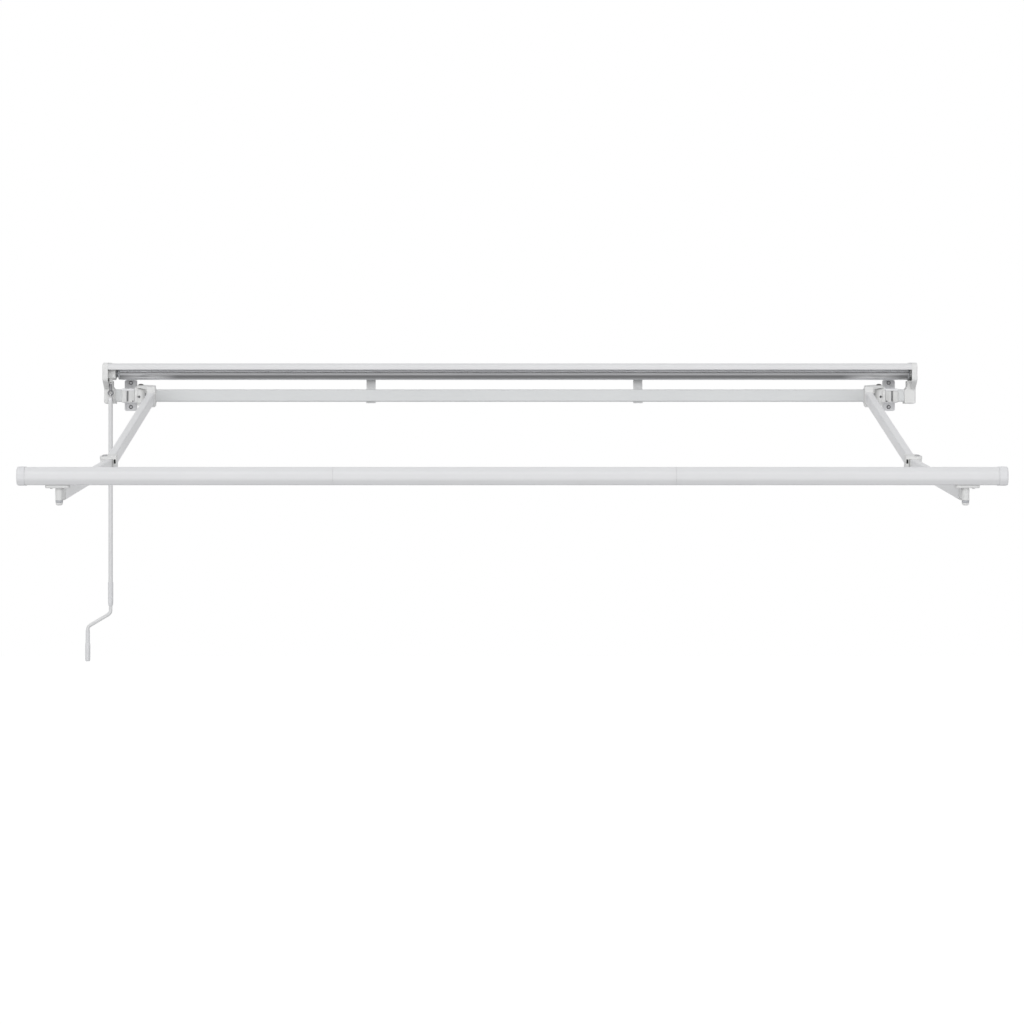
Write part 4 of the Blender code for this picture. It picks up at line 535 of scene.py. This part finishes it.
def wall_fittings(finish):
    """The fittings of the brackets, and the screws of the end plates, supports and crank gear."""
    dark, steel = finish["dark_steel_and_painted_shade"], finish["fastener_steel"]
    for side, word in SIDES:
        bracket_fittings(side, word, finish)
        at = (side * PITCH_SCREW_X, PITCH_SCREW_Y, ARM_BRACKET_TOP)
        screw(f"pitch_adjusting_screw_{word}", at, UP, "wall_frame", finish["eye_steel_and_painted_shade"], PITCH_SCREW)
        for place, z in zip(("upper", "lower"), CLAMP_SCREW_HEIGHTS):
            at = (side * CLAMP_SCREW_X, ARM_BRACKET_REAR_Y, z)
            screw(f"clamp_screw_{place}_{word}", at, TO_WALL, "wall_frame", steel, CLAMP_SCREW)
        for place, shift in (("front", -END_PLATE_SCREW_SHIFT), ("rear", END_PLATE_SCREW_SHIFT)):
            at = (side * PLATE_OUTER_X, ROLLER[0] + shift, ROLLER[1])
            name = f"end_plate_screw_{place}_{word}"
            screw(name, at, (side, 0, 0), "wall_frame", steel, END_PLATE_SCREW)
    for x, word in zip(SUPPORT_X, ("left", "right")):
        for place, shift in (("a", -SUPPORT_SCREW_SHIFT), ("b", SUPPORT_SCREW_SHIFT)):
            at = (x + shift, *SUPPORT_FOOT)
            screw(f"support_screw_{place}_{word}", at, DOWN, "wall_frame", steel, SUPPORT_SCREW)
    for place, x, z in GEAR_BOX_SCREWS:
        at = (x, GEAR_BOX_FRONT_Y, z)
        screw(f"gear_box_screw_{place}", at, OUT_FRONT, "wall_frame", finish["hook_steel"], GEAR_BOX_SCREW)
    at = (GEAR_NECK_SCREW_X, GEAR_NECK_FRONT_Y, GEAR_NECK_SCREW_Z)
    screw("gear_neck_screw", at, OUT_FRONT, "wall_frame", dark, GEAR_NECK_SCREW, sunk=NECK_SUNK)


def elbow_shade_buffer(side, word, finish):
    """The black rubber pad that the forearm comes to rest beside, its stem in the fork's pocket; its black
    is painted shade for the pocket's deep shadow.
    """
    elbow = Vector((side * PIN_X, *ELBOW))
    bm = bmesh.new()
    for inward, ahead, high in SHADE_BUFFER_BLOCKS:
        corners = []
        for a in inward:
            for b in ahead:
                for c in high:
                    place = elbow - Vector((side * a, 0, 0)) + FORWARD * b + UPWARD * c
                    corners.append(bm.verts.new(place))
        for face in BLOCK_FACES:
            bm.faces.new([corners[k] for k in face])
    bmesh.ops.bevel(bm, geom=bm.edges[:], offset=SHADE_BUFFER_EDGE, segments=2, affect="EDGES", profile=0.5)
    add_fitting(to_mesh(bm, f"elbow_shade_buffer_{word}", finish), f"upper_{word}")


def pin_fittings(side, word, finish):
    """A socket in the head of the shoulder and elbow pins, and a clip on each lower end; the shoulder's dark
    socket is painted shade.
    """
    steel = finish["fastener_steel"]
    for joint, place, half, body, look in (
        # The shoulder's dark socket is painted shade beside the ear
        ("shoulder", SHOULDER, SHOULDER_HALF, f"tilt_{word}", finish["dark_steel_and_painted_shade"]),
        ("elbow", ELBOW, ELBOW_HALF, f"upper_{word}", steel),
    ):
        centre = Vector((side * PIN_X, *place))
        top = centre + UPWARD * (half + PIN_HEAD_HEIGHT)
        screw(f"{joint}_pin_socket_{word}", top, UPWARD, body, look, PIN_SOCKET)
        low = centre - UPWARD * (half + PIN_CLIP_GAP)
        washer(f"{joint}_pin_clip_{word}", low, -UPWARD, body, steel, PIN_CLIP)


def lock_shade_screw(side, word, finish):
    """A screw in the front of the shoulder's barrel, a little outward of its middle, its dark head painted
    as the shade of a hole there.
    """
    out = LOCK_SHADE_SCREW_OUT / BARREL_RADIUS
    normal = Vector((side * out, 0, 0)) + FORWARD * math.sqrt(1 - out * out)
    at = Vector((side * PIN_X, *SHOULDER)) + normal * BARREL_RADIUS - UPWARD * LOCK_SHADE_SCREW_DROP
    look = finish["dark_steel_and_painted_shade"]
    screw(f"lock_shade_screw_{word}", at, normal, f"tilt_{word}", look, LOCK_SHADE_SCREW, sunk=BARREL_SUNK)


def front_fittings(side, word, finish):
    """The bolts of the wrist plate, the bush on the wrist pin and the screws of the end cap."""
    for place, shift in (("inner", -WRIST_BOLT_SHIFT), ("outer", WRIST_BOLT_SHIFT)):
        at = (side * (WRIST_PLATE_X + shift), FRONT[0] + WRIST_BOLT_BACK, WRIST_PLATE_LOW)
        screw(f"wrist_plate_bolt_{place}_{word}", at, DOWN, "front", finish["hook_steel"], WRIST_BOLT)
    at = Vector((side * PIN_X, *WRIST)) - UPWARD * WRIST_BUSH_TOP
    washer(f"wrist_bush_{word}", at, -UPWARD, "front", finish["plug_nylon"], WRIST_BUSH)
    for place, z in zip(("upper", "lower"), CAP_SCREW_HEIGHTS):
        at = (side * FRONT_HALF, FRONT[0] + CAP_SCREW_BACK, FRONT[1] + z)
        screw(f"cap_screw_{place}_{word}", at, (side, 0, 0), "front", finish["fastener_steel"], CAP_SCREW)


def arm_fittings(finish):
    for side, word in SIDES:
        pin_fittings(side, word, finish)
        lock_shade_screw(side, word, finish)
        elbow_shade_buffer(side, word, finish["black_rubber_painted_shade"])
        front_fittings(side, word, finish)


def roller_fittings(finish):
    """The rivets that hold the plugs in the roller."""
    for word, x in (("gear", ROLLER_ENDS[0] + RIVET_INSET), ("idle", ROLLER_ENDS[1] - RIVET_INSET)):
        for k in range(RIVET_COUNT):
            turn = math.radians(FIRST_RIVET + 360 / RIVET_COUNT * k)
            normal = (0, math.cos(turn), math.sin(turn))
            at = (x, ROLLER[0] + ROLLER_RADIUS * normal[1], ROLLER[1] + ROLLER_RADIUS * normal[2])
            name = f"roller_rivet_{word}_{k + 1}"
            screw(name, at, normal, "roller", finish["bare_roller"], RIVET)


def camera():
    data = bpy.data.cameras.new("camera")
    data.sensor_width = SENSOR
    data.lens = FOCAL_PIXELS / IMAGE * SENSOR
    data.shift_x = (IMAGE / 2 - PRINCIPAL_X) / IMAGE
    data.clip_end = CAMERA_REACH
    made = bpy.data.objects.new("camera", data)
    made.location = CAMERA_PLACE
    made.rotation_euler = (math.pi / 2, 0, 0)
    bpy.context.scene.collection.objects.link(made)
    bpy.context.scene.camera = made


def soft_lamp(name, toward, strength):
    """A far, wide lamp, so that the near front bar and the far wall get the same light."""
    data = bpy.data.lights.new(name, "SUN")
    data.energy = strength
    data.angle = LAMP_SPREAD
    made = bpy.data.objects.new(name, data)
    made.location = Vector(toward) * LAMP_DISTANCE
    made.rotation_euler = Vector(toward).to_track_quat("Z", "Y").to_euler()
    bpy.context.scene.collection.objects.link(made)


def seen_rays(tree):
    """One for the rays of the camera, of reflections and of what is seen through glass."""
    path = tree.nodes.new("ShaderNodeLightPath")
    seen = path.outputs["Is Camera Ray"]
    for kind in ("Is Glossy Ray", "Is Transmission Ray"):
        seen = math_node(tree, "MAXIMUM", seen, path.outputs[kind])
    return seen


def background(tree, colour, strength):
    node = tree.nodes.new("ShaderNodeBackground")
    node.inputs["Color"].default_value = (*colour, 1.0)
    node.inputs["Strength"].default_value = strength
    return node.outputs["Background"]


def surround():
    """A world that is seen as white and lights the object softly from all sides."""
    world = bpy.data.worlds.new("surround")
    bpy.context.scene.world = world
    world.use_nodes = True
    tree = world.node_tree
    tree.nodes.clear()
    blend = tree.nodes.new("ShaderNodeMixShader")
    out = tree.nodes.new("ShaderNodeOutputWorld")
    tree.links.new(seen_rays(tree), blend.inputs["Fac"])
    tree.links.new(background(tree, WORLD_TINT, WORLD_LIGHT), blend.inputs[1])
    tree.links.new(background(tree, WHITE, 1.0), blend.inputs[2])
    tree.links.new(blend.outputs["Shader"], out.inputs["Surface"])


def floor():
    """A pale floor well below the crank, seen as near white but for the object's shadow."""
    mesh = bpy.data.meshes.new("floor")
    half = FLOOR_HALF
    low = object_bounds()[0][2] - FLOOR_DROP
    corners = [(-half, -half, low), (half, -half, low), (half, half, low), (-half, half, low)]
    mesh.from_pydata(corners, [], [(0, 1, 2, 3)])
    plane = bpy.data.objects.new("floor", mesh)
    bpy.context.scene.collection.objects.link(plane)
    made = bpy.data.materials.new("floor_white")
    made.use_nodes = True
    tree = made.node_tree
    shader = tree.nodes["Principled BSDF"]
    shader.inputs["Roughness"].default_value = 0.9
    shader.inputs["Emission Strength"].default_value = 1.0
    rays = seen_rays(tree)
    tree.links.new(mix(tree, rays, FLOOR_LIT, FLOOR_SEEN), shader.inputs["Base Color"])
    tree.links.new(mix(tree, rays, BLACK, FLOOR_GLOW), shader.inputs["Emission Color"])
    mesh.materials.append(made)
    plane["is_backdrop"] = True


def studio():
    """A white surround, two wide soft lamps in front and a pale floor."""
    bpy.context.scene.view_settings.view_transform = "Standard"
    surround()
    for name, toward, strength in LAMPS:
        soft_lamp(name, toward, strength)
    floor()


with open("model.json") as file:
    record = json.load(file)
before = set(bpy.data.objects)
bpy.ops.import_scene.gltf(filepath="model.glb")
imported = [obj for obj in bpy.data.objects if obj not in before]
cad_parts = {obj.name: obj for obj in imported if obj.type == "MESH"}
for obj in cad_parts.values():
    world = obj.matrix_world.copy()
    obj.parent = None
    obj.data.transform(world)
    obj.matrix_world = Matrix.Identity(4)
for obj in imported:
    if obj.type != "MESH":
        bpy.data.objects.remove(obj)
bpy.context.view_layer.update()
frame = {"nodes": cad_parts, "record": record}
camera()
looks = finishes()
dress(frame, looks)
wall_fittings(looks)
arm_fittings(looks)
roller_fittings(looks)
studio()
